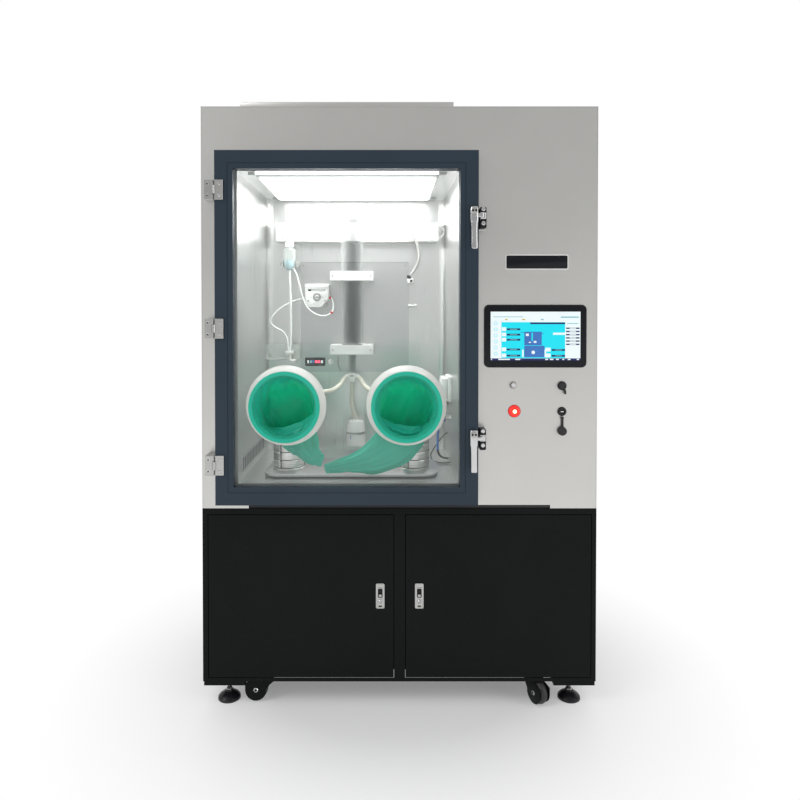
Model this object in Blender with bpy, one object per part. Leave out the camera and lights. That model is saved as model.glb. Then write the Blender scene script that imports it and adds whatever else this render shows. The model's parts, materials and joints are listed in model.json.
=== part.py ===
"""Floor-standing laboratory glove box for filter tests, as separate parts.

Metres, +Z up, the front faces -Y. The origin is on the floor, at the middle of the outline.
A steel chamber with a hinged glass door and two glove ports stands on a base cupboard.
"""

import math

import bmesh
import bpy
from mathutils import Matrix, Vector

# ---- driving dimensions ----------------------------------------------------------------
GAP = 0.0003  # left between pieces that touch
SHEET = 0.002  # casing sheet thickness
WIDTH = 1.180
DEPTH = 0.650
PORT_PROUD = 0.075  # port rims in front of the front panel
FRONT = (PORT_PROUD - DEPTH) / 2  # face of the front panel
BACK = FRONT + DEPTH

SKIRT_Z = 0.0745  # lower edge of the base
BRACKET_Z = 0.061  # lower face of the corner brackets that carry the feet
FLOOR_Z = 0.100  # underside of the base floor
BASE_TOP = 0.597
BODY_TOP = 1.795

NOTCH_WIDTH = 0.902  # shadow gap between base and upper cabinet
NOTCH_HEIGHT = 0.0105

CHAMBER_X = (-0.483, 0.1765)
CHAMBER_Z = (0.672, 1.604)
CHAMBER_DEPTH = 0.506
CHAMBER_CORNER = 0.022

DOOR_X = (-0.540, 0.230)
DOOR_Z = (0.618, 1.656)
DOOR_PROUD = 0.045
DOOR_CLEAR = 0.002  # gap behind the door that the seal fills
RAIL = 0.0535
GLASS_SETBACK = 0.020
GLASS_THICKNESS = 0.008
HINGE_AXIS = (DOOR_X[0] - 0.001, FRONT - DOOR_PROUD - 0.006)
HINGE_HEIGHTS = {"top": 1.540, "middle": 1.1365, "bottom": 0.7365}
HINGE_SIZE = (0.028, 0.058)  # width of one leaf, height
KNUCKLE = (0.0055, 0.024)  # radius, length

PORT_X = {"left": -0.334, "right": 0.020}
PORT_Z = 0.910
PORT_FLANGE_RADIUS = 0.118
PORT_RIM_RADIUS = 0.107
PORT_BORE = 0.0985
PORT_LENGTH = 0.046
GLOVE_WALL = 0.0025
GLOVE_TIP_DEPTH = 0.078  # behind the front of the pane
GLOVE_TIPS = {"left": (0.030, -0.150, 0.052), "right": (-0.240, -0.196, 0.026)}  # x, z, size

BASE_DOORS = {"left": (-0.5725, -0.0175), "right": (0.0190, 0.5745)}
BASE_DOOR_Z = (0.087, 0.577)
BASE_DOOR_THICKNESS = 0.018
BASE_DOOR_GAP = 0.002
LOCKS = {"left": -0.0575, "right": 0.0595}
LOCK_Z = 0.334
LOCK_SIZE = (0.026, 0.076)
LOCK_BUTTON = (0.0048, -0.016)  # radius, height from the lock's middle

LATCHES = {"upper": (1.367, 1.491), "lower": (0.7185, 0.8425)}
LATCH_X = (0.1975, 0.2265)
LATCH_AXIS = (0.1995, FRONT - DOOR_PROUD - 0.008)
KEEPER_X = (0.2330, 0.2550)
KEEPER_HEIGHT = 0.066

SCREEN_X = (0.252, 0.557)
SCREEN_Z = (1.0195, 1.2065)
SCREEN_CORNER = 0.015
SCREEN_BODY_MARGIN = 0.022
PUSH_BUTTON = (0.339, 0.967, 0.0080)
STOP_BUTTON = (0.343, 0.889, 0.0160)
UPPER_SOCKET = (0.485, 0.965)
LOWER_SOCKET = (0.485, 0.888)
SOCKET_RADIUS = 0.0135
CAP_DROP = 0.058

FOOT_X = 0.521
FOOT_INSET_Y = 0.045
FOOT_RADIUS = 0.034
BRACKET_SIZE = 0.1235
BRACKET_LIP_Z = 0.083  # the front brackets reach under the base doors up to here
CASTER_X = 0.410
CASTER_INSET_Y = 0.040
CASTER_TRAIL = 0.026
WHEEL_RADIUS = 0.035
WHEEL_WIDTH = 0.026
WHEEL_CLEAR = 0.001  # the wheels hang just above the floor while it stands on its feet
CASTER_TURNS = {"front_left": 90, "front_right": 205, "rear_left": 180, "rear_right": 270}

PANEL_X = (-0.356, 0.042)
PANEL_Z = (0.963, 1.3685)
PANEL_STANDOFF = 0.020
CYLINDER_AT = (-0.163, FRONT + 0.420)
CYLINDER_RADIUS = 0.040
CYLINDER_Z = (0.968, 1.568)
CLAMP_Z = {"upper": 1.3125, "lower": 1.051}
CLAMP_SIZE = (0.152, 0.033)
CLAMP_FRONT = 0.0475  # front of the clamp, from the cylinder's axis
CLAMP_BOW = 0.006  # how far its ends fall back
PUMP_X = (-0.334, -0.248)
PUMP_Z = (1.202, 1.2855)
PUMP_DEPTH = 0.052
PUMP_SHAFT_RADIUS = 0.010
TRAY_X = (-0.423, 0.122)
TRAY_DEPTHS = (0.063, 0.300)
TRAY_THICKNESS = 0.012
SAMPLER_X = {"left": -0.3535, "right": 0.0475}
SAMPLER_DEPTH = 0.157
SAMPLER_RADIUS = 0.0485
SAMPLER_STAGES = 8
STAGE_HEIGHT = 0.0255
TRAP_AT = (-0.152, FRONT + 0.462)
TRAP_RADIUS = 0.0355
TRAP_Z = (0.6975, 0.789)
LAMP_X = (-0.445, 0.151)
LAMP_Z = (1.438, 1.514)
LAMP_DEPTH = 0.042
VACUUM_PUMP_AT = (-0.330, FRONT + 0.340, FLOOR_Z + 0.004)

# ---- finishes: colour, roughness, metallic -----------------------------------------------
FINISHES = {
    "stainless": ((0.46, 0.46, 0.44), 0.34, 1.0),
    "black_coat": ((0.012, 0.014, 0.013), 0.42, 0.0),
    "door_coat": ((0.045, 0.060, 0.075), 0.38, 0.3),
    "glass": ((0.80, 0.90, 0.88), 0.05, 0.0),
    "port_plastic": ((0.78, 0.78, 0.76), 0.35, 0.0),
    "glove_rubber": ((0.01, 0.42, 0.33), 0.55, 0.0),
    "zinc_cast": ((0.55, 0.55, 0.55), 0.30, 1.0),
    "chrome": ((0.70, 0.70, 0.70), 0.12, 1.0),
    "white_plastic": ((0.85, 0.85, 0.83), 0.40, 0.0),
    "screen_black": ((0.010, 0.010, 0.012), 0.15, 0.0),
    "red_lamp": ((0.70, 0.02, 0.01), 0.30, 0.0),
    "black_rubber": ((0.015, 0.015, 0.015), 0.70, 0.0),
    "alloy": ((0.62, 0.62, 0.60), 0.28, 1.0),
    "pump_blue": ((0.10, 0.14, 0.20), 0.45, 0.0),
}


def clear_scene():
    for item in list(bpy.data.objects):
        bpy.data.objects.remove(item, do_unlink=True)


def finish(name):
    """The named finish as a Principled material, made once."""
    found = bpy.data.materials.get(name)
    if found:
        return found
    colour, roughness, metallic = FINISHES[name]
    material = bpy.data.materials.new(name)
    material.use_nodes = True
    shader = material.node_tree.nodes["Principled BSDF"]
    shader.inputs["Base Color"].default_value = (*colour, 1.0)
    shader.inputs["Roughness"].default_value = roughness
    shader.inputs["Metallic"].default_value = metallic
    return material


def place(name, shape, coat, at=(0, 0, 0), parent=None, smooth=False):
    """Turns a bmesh into a named object; `at` is where its local origin goes."""
    bmesh.ops.recalc_face_normals(shape, faces=shape.faces)
    mesh = bpy.data.meshes.new(name)
    shape.to_mesh(mesh)
    shape.free()
    mesh.materials.append(finish(coat))
    if smooth:
        mesh.shade_smooth()
        mesh.set_sharp_from_angle(angle=math.radians(35))
    part = bpy.data.objects.new(name, mesh)
    part.location = at
    part.parent = parent
    bpy.context.scene.collection.objects.link(part)
    return part


def pivot(name, at, parent=None):
    """An empty on a joint axis, which carries the pieces that turn about it."""
    empty = bpy.data.objects.new(name, None)
    empty.location = at
    empty.parent = parent
    bpy.context.scene.collection.objects.link(empty)
    return empty


def block(low, high, bevel=0.0, steps=1):
    """A box between two corners, with every edge bevelled if asked."""
    low, high = Vector(low), Vector(high)
    shape = bmesh.new()
    size = Matrix.Diagonal((*(high - low), 1.0))
    bmesh.ops.create_cube(shape, size=1.0, matrix=Matrix.Translation((low + high) / 2) @ size)
    if bevel:
        bmesh.ops.bevel(shape, geom=shape.edges[:], offset=bevel, segments=steps,
                        affect="EDGES", profile=0.5)
    return shape


def rounded_rectangle(x0, x1, z0, z1, radius, steps=5):
    """The corner points of a rounded rectangle, anticlockwise."""
    points = []
    corners = ((x1 - radius, z1 - radius, 0), (x0 + radius, z1 - radius, 90),
               (x0 + radius, z0 + radius, 180), (x1 - radius, z0 + radius, 270))
    for cx, cz, start in corners:
        for step in range(steps + 1):
            angle = math.radians(start + 90 * step / steps)
            points.append((cx + radius * math.cos(angle), cz + radius * math.sin(angle)))
    return points


def circle(cx, cz, radius, segments=24):
    turns = (2 * math.pi * step / segments for step in range(segments))
    return [(cx + radius * math.cos(turn), cz + radius * math.sin(turn)) for turn in turns]


def rectangle(x0, x1, z0, z1):
    return [(x0, z0), (x1, z0), (x1, z1), (x0, z1)]


def plate(outline, holes, y0, y1):
    """An XZ outline with holes, from y0 to y1."""
    shape = bmesh.new()
    edges = []
    for loop in [outline, *holes]:
        verts = [shape.verts.new((x, y0, z)) for x, z in loop]
        for first, second in zip(verts, verts[1:] + verts[:1]):
            edges.append(shape.edges.new((first, second)))
    bmesh.ops.triangle_fill(shape, edges=edges, use_beauty=True, use_dissolve=False)
    made = bmesh.ops.extrude_face_region(shape, geom=shape.faces[:])
    moved = [item for item in made["geom"] if isinstance(item, bmesh.types.BMVert)]
    bmesh.ops.translate(shape, verts=moved, vec=(0, y1 - y0, 0))
    return shape


def prism(outline, low, high, axis):
    """A flat outline carried from low to high along X (outline in YZ) or Z (outline in XY)."""
    shape = bmesh.new()

    def corner(point, along):
        if axis == "X":
            return (along, *point)
        return (*point, along)

    base = shape.faces.new([shape.verts.new(corner(point, low)) for point in outline])
    made = bmesh.ops.extrude_face_region(shape, geom=[base])
    moved = [item for item in made["geom"] if isinstance(item, bmesh.types.BMVert)]
    step = (high - low, 0, 0) if axis == "X" else (0, 0, high - low)
    bmesh.ops.translate(shape, verts=moved, vec=step)
    return shape


def turned(profile, segments=24, axis="Z", ring=False):
    """A turned solid: profile points are (radius, along); ring=True closes it round a bore."""
    shape = bmesh.new()
    rows = []
    for radius, along in profile:
        row = []
        for step in range(segments if radius > 0 else 1):
            angle = 2 * math.pi * step / segments
            across = (radius * math.cos(angle), radius * math.sin(angle))
            places = {
                "X": (along, *across),
                "Y": (across[0], along, across[1]),
                "Z": (*across, along),
            }
            row.append(shape.verts.new(places[axis]))
        rows.append(row)
    pairs = list(zip(rows, rows[1:]))
    if ring:
        pairs.append((rows[-1], rows[0]))
    for lower, upper in pairs:
        for step in range(segments):
            after = (step + 1) % segments
            corners = [lower[step % len(lower)], lower[after % len(lower)],
                       upper[after % len(upper)], upper[step % len(upper)]]
            shape.faces.new(dict.fromkeys(corners))
    if not ring:
        for row in (rows[0], rows[-1]):
            if len(row) > 1:
                shape.faces.new(row)
    return shape


def swept_frame(profile, x0, x1, z0, z1):
    """A mitred frame round a rectangle: profile points are (inset from the outside, y)."""
    shape = bmesh.new()
    rows = []
    for inset, y in profile:
        loop = rectangle(x0 + inset, x1 - inset, z0 + inset, z1 - inset)
        rows.append([shape.verts.new((x, y, z)) for x, z in loop])
    for lower, upper in zip(rows, rows[1:] + rows[:1]):
        for step in range(4):
            after = (step + 1) % 4
            shape.faces.new((lower[step], lower[after], upper[after], upper[step]))
    return shape


def open_box(low, high, open_side, corner=0.0):
    """The five walls of a box as a surface; `open_side` is a unit direction."""
    shape = block(low, high)
    side = Vector(open_side)
    away = [face for face in shape.faces if face.normal.dot(side) > 0.9]
    bmesh.ops.delete(shape, geom=away, context="FACES_ONLY")
    if corner:
        upright = [
            edge for edge in shape.edges
            if len(edge.link_faces) == 2 and edge.verts[0].co.xy == edge.verts[1].co.xy
        ]
        bmesh.ops.bevel(shape, geom=upright, offset=corner, segments=4, affect="EDGES", profile=0.5)
    return shape


def thicken(part, thickness, outward=False):
    """Gives a surface its sheet thickness, inward unless asked."""
    skin = part.modifiers.new("sheet", "SOLIDIFY")
    skin.thickness = thickness
    skin.offset = 1.0 if outward else -1.0
    skin.use_even_offset = True


def combine(part, tool, operation, tag):
    """Adds or cuts away a bmesh that shares the part's own axes."""
    helper = place(f"{part.name}_{tag}", tool, "alloy")
    helper.parent = part.parent
    helper.location = part.location
    helper.hide_render = True
    helper.display_type = "WIRE"
    change = part.modifiers.new(tag, "BOOLEAN")
    change.operation = operation
    change.solver = "EXACT"
    change.object = helper


def base_cabinet():
    """The black base: welded casing with two door openings, and its floor."""
    half = WIDTH / 2
    casing = place(
        "base_casing",
        open_box((-half, FRONT, SKIRT_Z), (half, BACK, BASE_TOP), (0, 0, -1)),
        "black_coat",
    )
    thicken(casing, SHEET)
    low_z, high_z = BASE_DOOR_Z[0] - BASE_DOOR_GAP, BASE_DOOR_Z[1] + BASE_DOOR_GAP
    for side, (x0, x1) in BASE_DOORS.items():
        opening = block((x0 - BASE_DOOR_GAP, FRONT - 0.01, low_z),
                        (x1 + BASE_DOOR_GAP, FRONT + 0.01, high_z))
        combine(casing, opening, "DIFFERENCE", f"{side}_opening")

    inner_x = half - SHEET - GAP
    inner_y = {"front": FRONT + BASE_DOOR_THICKNESS + 0.003, "rear": BACK - SHEET - GAP}
    floor = place(
        "base_floor",
        block((-inner_x, inner_y["front"], FLOOR_Z), (inner_x, inner_y["rear"], FLOOR_Z + SHEET)),
        "black_coat",
    )
    for end, edge_y in inner_y.items():
        inward = BRACKET_SIZE if end == "front" else -BRACKET_SIZE
        y0, y1 = sorted((edge_y, edge_y + inward))
        for side, x0 in (("left", -inner_x), ("right", inner_x - BRACKET_SIZE)):
            bracket = block((x0, y0, BRACKET_Z), (x0 + BRACKET_SIZE, y1, FLOOR_Z + SHEET / 2))
            combine(floor, bracket, "UNION", f"bracket_{end}_{side}")
            if end == "front":
                lip = block((x0, FRONT + SHEET + GAP, BRACKET_Z), (x0 + BRACKET_SIZE, y1, BRACKET_LIP_Z))
                combine(floor, lip, "UNION", f"bracket_lip_{side}")


def levelling_feet():
    """Four screw feet: rubber-shod pad, stem and lock nut, turned as one."""
    profile = [
        (0, 0), (FOOT_RADIUS, 0), (FOOT_RADIUS, 0.008), (FOOT_RADIUS * 0.5, 0.022),
        (0.013, 0.026), (0.006, 0.028), (0.006, 0.046), (0.0115, 0.046),
        (0.0115, BRACKET_Z - GAP), (0, BRACKET_Z - GAP),
    ]
    for end, y in (("front", FRONT + FOOT_INSET_Y), ("rear", BACK - FOOT_INSET_Y)):
        for side, x in (("left", -FOOT_X), ("right", FOOT_X)):
            place(f"levelling_foot_{end}_{side}", turned(profile, 16), "black_rubber",
                  at=(x, y, 0), smooth=True)


def caster(corner, x, y, turn):
    """One swivel caster; its fork turns about Z and its wheel about its axle."""
    axle_z = WHEEL_CLEAR + WHEEL_RADIUS
    swivel = pivot(f"caster_{corner}_swivel", (x, y, 0))
    swivel.rotation_euler.z = math.radians(turn)
    wheel_gap = WHEEL_WIDTH / 2 + 0.0012
    cheek = 0.003
    crown_low, crown_high = axle_z + WHEEL_RADIUS + 0.003, axle_z + WHEEL_RADIUS + 0.009
    side_view = [
        (CASTER_TRAIL - 0.010, axle_z - 0.012), (CASTER_TRAIL + 0.010, axle_z - 0.012),
        (CASTER_TRAIL + 0.015, axle_z + 0.004), (0.026, crown_high), (-0.030, crown_high),
        (-0.030, crown_low - 0.010),
    ]
    fork = place(f"caster_fork_{corner}",
                 prism(side_view, -wheel_gap - cheek, wheel_gap + cheek, "X"),
                 "zinc_cast", parent=swivel)
    slot = block((-wheel_gap, -0.08, 0), (wheel_gap, 0.12, crown_low))
    combine(fork, slot, "DIFFERENCE", "wheel_slot")
    boss = turned([(0, crown_high - 0.003), (0.018, crown_high - 0.003),
                   (0.018, FLOOR_Z - GAP), (0, FLOOR_Z - GAP)], 20)
    combine(fork, boss, "UNION", "swivel_boss")
    axle_half = wheel_gap + cheek + 0.003
    axle = turned([(0, -axle_half), (0.004, -axle_half), (0.004, axle_half), (0, axle_half)],
                  12, "X")
    bmesh.ops.translate(axle, verts=axle.verts, vec=(0, CASTER_TRAIL, axle_z))
    combine(fork, axle, "UNION", "axle")

    half = WHEEL_WIDTH / 2
    tyre = [
        (0.0044, -half), (0.013, -half), (WHEEL_RADIUS - 0.006, -half + 0.002),
        (WHEEL_RADIUS, -half + 0.006), (WHEEL_RADIUS, half - 0.006),
        (WHEEL_RADIUS - 0.006, half - 0.002), (0.013, half), (0.0044, half),
    ]
    place(f"caster_wheel_{corner}", turned(tyre, 24, "X", ring=True), "black_rubber",
          at=(0, CASTER_TRAIL, axle_z), parent=swivel, smooth=True)


def casters():
    for corner, turn in CASTER_TURNS.items():
        end, side = corner.split("_")
        x = -CASTER_X if side == "left" else CASTER_X
        y = FRONT + CASTER_INSET_Y if end == "front" else BACK - CASTER_INSET_Y
        caster(corner, x, y, turn)


def base_doors():
    """Two folded-sheet doors set into the base front, each with a flush push lock."""
    for side, (x0, x1) in BASE_DOORS.items():
        hinge_x = x0 if side == "left" else x1
        hinge = pivot(f"base_door_{side}_hinge", (hinge_x, FRONT, 0))
        low = (x0 - hinge_x, 0, BASE_DOOR_Z[0])
        high = (x1 - hinge_x, BASE_DOOR_THICKNESS, BASE_DOOR_Z[1])
        door = place(f"base_door_{side}", open_box(low, high, (0, 1, 0)), "black_coat", parent=hinge)
        thicken(door, SHEET)
        lock_x = LOCKS[side] - hinge_x
        half_x, half_z = LOCK_SIZE[0] / 2, LOCK_SIZE[1] / 2
        body_x, body_z = half_x - 0.003, half_z - 0.008
        hole = block((lock_x - body_x - GAP, -0.01, LOCK_Z - body_z - GAP),
                     (lock_x + body_x + GAP, 0.01, LOCK_Z + body_z + GAP))
        combine(door, hole, "DIFFERENCE", "lock_hole")

        lock = place(f"lock_plate_{side}",
                     block((-half_x, -0.003, -half_z), (half_x, -GAP, half_z)),
                     "zinc_cast", at=(lock_x, 0, LOCK_Z), parent=hinge)
        combine(lock, block((-body_x, -0.002, -body_z), (body_x, 0.016, body_z)), "UNION", "case")
        recess = block((-0.0065, -0.02, -0.008), (0.0065, 0.0005, 0.020))
        combine(lock, recess, "DIFFERENCE", "recess")
        radius, drop = LOCK_BUTTON
        bore = turned([(0, -0.02), (radius + 0.0004, -0.02), (radius + 0.0004, 0.012), (0, 0.012)],
                      16, "Y")
        bmesh.ops.translate(bore, verts=bore.verts, vec=(0, 0, drop))
        combine(lock, bore, "DIFFERENCE", "bore")
        button = turned([(0, -0.0045), (radius - 0.0006, -0.0045), (radius, -0.0039),
                         (radius, 0.008), (0, 0.008)], 16, "Y")
        place(f"lock_button_{side}", button, "chrome", at=(lock_x, 0, LOCK_Z + drop), parent=hinge,
              smooth=True)


def upper_cabinet():
    """The stainless upper cabinet: wrap, front and back panels, and the roof cover."""
    half = WIDTH / 2
    low, high = BASE_TOP + GAP, BODY_TOP
    inside = half - SHEET
    wrap = [(-half, low), (-inside, low), (-inside, high - SHEET), (inside, high - SHEET),
            (inside, low), (half, low), (half, high), (-half, high)]
    place("upper_casing", plate(wrap, [], FRONT, BACK - SHEET - GAP), "stainless")

    edge = half - SHEET - GAP
    notch = NOTCH_WIDTH / 2
    notch_z = BASE_TOP + NOTCH_HEIGHT
    outline = [(-edge, low), (-notch, low), (-notch, notch_z), (notch, notch_z), (notch, low),
               (edge, low), (edge, high - SHEET - GAP), (-edge, high - SHEET - GAP)]
    margin = SCREEN_BODY_MARGIN - 0.001
    holes = [
        rectangle(*CHAMBER_X, *CHAMBER_Z),
        rectangle(SCREEN_X[0] + margin, SCREEN_X[1] - margin, SCREEN_Z[0] + margin,
                  SCREEN_Z[1] - margin),
        circle(PUSH_BUTTON[0], PUSH_BUTTON[1], PUSH_BUTTON[2] + 0.0005, 20),
        circle(STOP_BUTTON[0], STOP_BUTTON[1], STOP_BUTTON[2] + 0.0005, 20),
        circle(*UPPER_SOCKET, SOCKET_RADIUS - 0.003, 16),
        circle(*LOWER_SOCKET, SOCKET_RADIUS - 0.003, 16),
    ]
    place("upper_front_panel", plate(outline, holes, FRONT, FRONT + SHEET), "stainless")
    place("upper_back_panel", block((-half, BACK - SHEET, low), (half, BACK, high)), "stainless")
    cover = open_box((-0.478, FRONT + 0.012, BODY_TOP + GAP), (0.162, BACK - 0.060, BODY_TOP + 0.0215),
                     (0, 0, -1))
    thicken(place("roof_cover", cover, "stainless"), SHEET)


def test_chamber():
    """The inner box with rounded upright corners, and what is fastened in it."""
    inner = open_box((CHAMBER_X[0], FRONT + SHEET + GAP, CHAMBER_Z[0]),
                     (CHAMBER_X[1], FRONT + CHAMBER_DEPTH, CHAMBER_Z[1]), (0, -1, 0), CHAMBER_CORNER)
    thicken(place("chamber_liner", inner, "stainless"), 0.0015, outward=True)

    wall = FRONT + CHAMBER_DEPTH - GAP
    panel_face = wall - PANEL_STANDOFF
    panel = place("mounting_plate",
                  open_box((PANEL_X[0], panel_face, PANEL_Z[0]), (PANEL_X[1], wall, PANEL_Z[1]),
                           (0, 1, 0)), "stainless")
    thicken(panel, SHEET)

    neck = CYLINDER_Z[0]
    tube = [
        (0.0370, CYLINDER_Z[1]), (CYLINDER_RADIUS, CYLINDER_Z[1]),
        (CYLINDER_RADIUS, neck + 0.078), (0.0145, neck + 0.064), (0.0145, neck),
        (0.0115, neck), (0.0115, neck + 0.067), (0.0370, neck + 0.082),
    ]
    place("aerosol_cylinder", turned(tube, 32, ring=True), "glass", at=(*CYLINDER_AT, 0), smooth=True)

    half_x, half_z = CLAMP_SIZE[0] / 2, CLAMP_SIZE[1] / 2
    clamp_back = panel_face - GAP - CYLINDER_AT[1]
    for level, z in CLAMP_Z.items():
        across = [1 - step / 4 for step in range(9)]
        bow = [(half_x * part, CLAMP_BOW * part ** 2 - CLAMP_FRONT) for part in across]
        outline = bow + [(-half_x, clamp_back), (half_x, clamp_back)]
        clamp = place(f"cylinder_clamp_{level}", prism(outline, -half_z, half_z, "Z"),
                      "white_plastic", at=(*CYLINDER_AT, z))
        radius = CYLINDER_RADIUS + GAP
        bore = turned([(0, -0.05), (radius, -0.05), (radius, 0.05), (0, 0.05)], 32)
        combine(clamp, bore, "DIFFERENCE", "bore")

    face = panel_face - GAP - PUMP_DEPTH
    shaft_x, shaft_z = sum(PUMP_X) / 2, sum(PUMP_Z) / 2 - 0.006
    head = place("pump_head",
                 block((PUMP_X[0], face, PUMP_Z[0]), (PUMP_X[1], panel_face - GAP, PUMP_Z[1]),
                       0.005, 2), "white_plastic")
    bore_radius = PUMP_SHAFT_RADIUS + 0.0005
    bore = turned([(0, face - 0.01), (bore_radius, face - 0.01), (bore_radius, face + 0.030),
                   (0, face + 0.030)], 20, "Y")
    bmesh.ops.translate(bore, verts=bore.verts, vec=(shaft_x, 0, shaft_z))
    combine(head, bore, "DIFFERENCE", "shaft_bore")
    rotor = turned([(0, -0.003), (0.0085, -0.003), (PUMP_SHAFT_RADIUS, -0.0015),
                    (PUMP_SHAFT_RADIUS, 0.028), (0, 0.028)], 20, "Y")
    place("pump_rotor", rotor, "alloy", at=(shaft_x, face, shaft_z), smooth=True)

    place("lamp_batten",
          block((LAMP_X[0], wall - LAMP_DEPTH, LAMP_Z[0]), (LAMP_X[1], wall, LAMP_Z[1]), 0.004),
          "white_plastic")
    low, high = TRAP_Z
    bottle = [(0, low), (TRAP_RADIUS - 0.004, low), (TRAP_RADIUS, low + 0.004),
              (TRAP_RADIUS, high - 0.010), (TRAP_RADIUS - 0.008, high - 0.002), (0, high)]
    place("trap_bottle", turned(bottle, 24), "white_plastic", at=(*TRAP_AT, 0), smooth=True)


def sampling_tray():
    """The rounded tray on the chamber floor with its two cascade samplers."""
    low = CHAMBER_Z[0] + GAP
    high = low + TRAY_THICKNESS
    outline = rounded_rectangle(*TRAY_X, FRONT + TRAY_DEPTHS[0], FRONT + TRAY_DEPTHS[1], 0.052, 6)
    place("sampler_tray", prism(outline, low, high, "Z"), "stainless")
    groove = SAMPLER_RADIUS - 0.002
    profile = [(0, 0), (SAMPLER_RADIUS + 0.002, 0), (SAMPLER_RADIUS + 0.002, 0.006)]
    for stage in range(SAMPLER_STAGES):
        floor = 0.006 + stage * STAGE_HEIGHT
        profile += [(groove, floor), (SAMPLER_RADIUS, floor + 0.002)]
    top = 0.006 + SAMPLER_STAGES * STAGE_HEIGHT
    profile += [(SAMPLER_RADIUS, top), (0.012, top + 0.014), (0.012, top + 0.030), (0, top + 0.030)]
    for side, x in SAMPLER_X.items():
        place(f"sampler_{side}", turned(profile, 20), "alloy",
              at=(x, FRONT + SAMPLER_DEPTH, high + GAP), smooth=True)


def hinges(door):
    """Three cast hinges: a block on the cabinet and a leaf with the knuckle on the door."""
    axis_x, axis_y = HINGE_AXIS
    width, height = HINGE_SIZE
    radius, length = KNUCKLE
    for level, z in HINGE_HEIGHTS.items():
        fixed = place(f"hinge_block_{level}",
                      block((-width, 0, -height / 2),
                            (-0.0008, FRONT - GAP - axis_y, height / 2), 0.0012),
                      "zinc_cast", at=(axis_x, axis_y, z))
        notch = block((-radius - 0.0007, -0.01, -length / 2 - 0.0005),
                      (0.01, radius + 0.0007, length / 2 + 0.0005))
        combine(fixed, notch, "DIFFERENCE", "knuckle_notch")
        leaf = place(f"hinge_leaf_{level}",
                     block((0.0006, -0.0003, -height / 2),
                           (width - 0.0006, 0.0057, height / 2), 0.0008),
                     "zinc_cast", at=(0, 0, z), parent=door)
        knuckle = turned([(0, -length / 2), (radius, -length / 2), (radius, length / 2),
                          (0, length / 2)], 16)
        combine(leaf, knuckle, "UNION", "knuckle")


def chamber_door():
    """The framed glass door on its hinge axis, with seal, ports, gloves and latches."""
    axis_x, axis_y = HINGE_AXIS
    door = pivot("chamber_door_hinge", (axis_x, axis_y, 0))
    face = FRONT - DOOR_PROUD - axis_y
    rear = FRONT - DOOR_CLEAR - axis_y
    ledge = face + GLASS_SETBACK
    lip = RAIL
    seat = RAIL - 0.012
    profile = [
        (0, face + 0.001), (0.001, face), (lip - 0.017, face), (lip - 0.0165, face + 0.0012),
        (lip - 0.0150, face + 0.0012), (lip - 0.0145, face), (lip - 0.001, face),
        (lip, face + 0.001), (lip, ledge - GAP), (seat, ledge - GAP), (seat, rear), (0, rear),
    ]
    edges = (DOOR_X[0] - axis_x, DOOR_X[1] - axis_x, *DOOR_Z)
    place("door_frame", swept_frame(profile, *edges), "door_coat", parent=door)

    pane_x = (edges[0] + seat + GAP, edges[1] - seat - GAP)
    pane_z = (edges[2] + seat + GAP, edges[3] - seat - GAP)
    holes = [circle(x - axis_x, PORT_Z, PORT_RIM_RADIUS - 0.0015, 32) for x in PORT_X.values()]
    place("door_glass",
          plate(rectangle(*pane_x, *pane_z), holes, ledge, ledge + GLASS_THICKNESS),
          "glass", parent=door)
    seal = [(0.012, rear + GAP), (0.028, rear + GAP), (0.028, FRONT - GAP - axis_y),
            (0.012, FRONT - GAP - axis_y)]
    place("door_seal", swept_frame(seal, *edges), "black_rubber", parent=door)

    for side, x in PORT_X.items():
        glove_port(side, door, (x - axis_x, ledge, PORT_Z))
    for level, (z0, z1) in LATCHES.items():
        latch(level, z0, z1, door)
    hinges(door)


def glove_port(side, door, at):
    """A port ring clamped in the pane, and the glove whose cuff covers its rim."""
    rim = -PORT_LENGTH
    inside = GLASS_THICKNESS + 0.012
    collar = PORT_RIM_RADIUS - 0.002
    ring = [
        (PORT_FLANGE_RADIUS, -GAP), (PORT_FLANGE_RADIUS, -0.007), (PORT_FLANGE_RADIUS - 0.004, -0.012),
        (PORT_RIM_RADIUS, rim + 0.003), (PORT_RIM_RADIUS - 0.003, rim), (PORT_BORE, rim),
        (PORT_BORE, inside), (collar, inside), (collar, -GAP),
    ]
    place(f"port_ring_{side}", turned(ring, 32, "Y", ring=True), "port_plastic", at=at, parent=door,
          smooth=True)

    lip_front = FRONT - PORT_PROUD - (HINGE_AXIS[1] + at[1])
    tip_x, tip_z, tip_size = GLOVE_TIPS[side]
    tip = Vector((tip_x, GLOVE_TIP_DEPTH, tip_z))
    place(f"glove_{side}", sleeve(lip_front, rim, GLOVE_WALL, tip, tip_size),
          "glove_rubber", at=at, parent=door, smooth=True)


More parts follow.
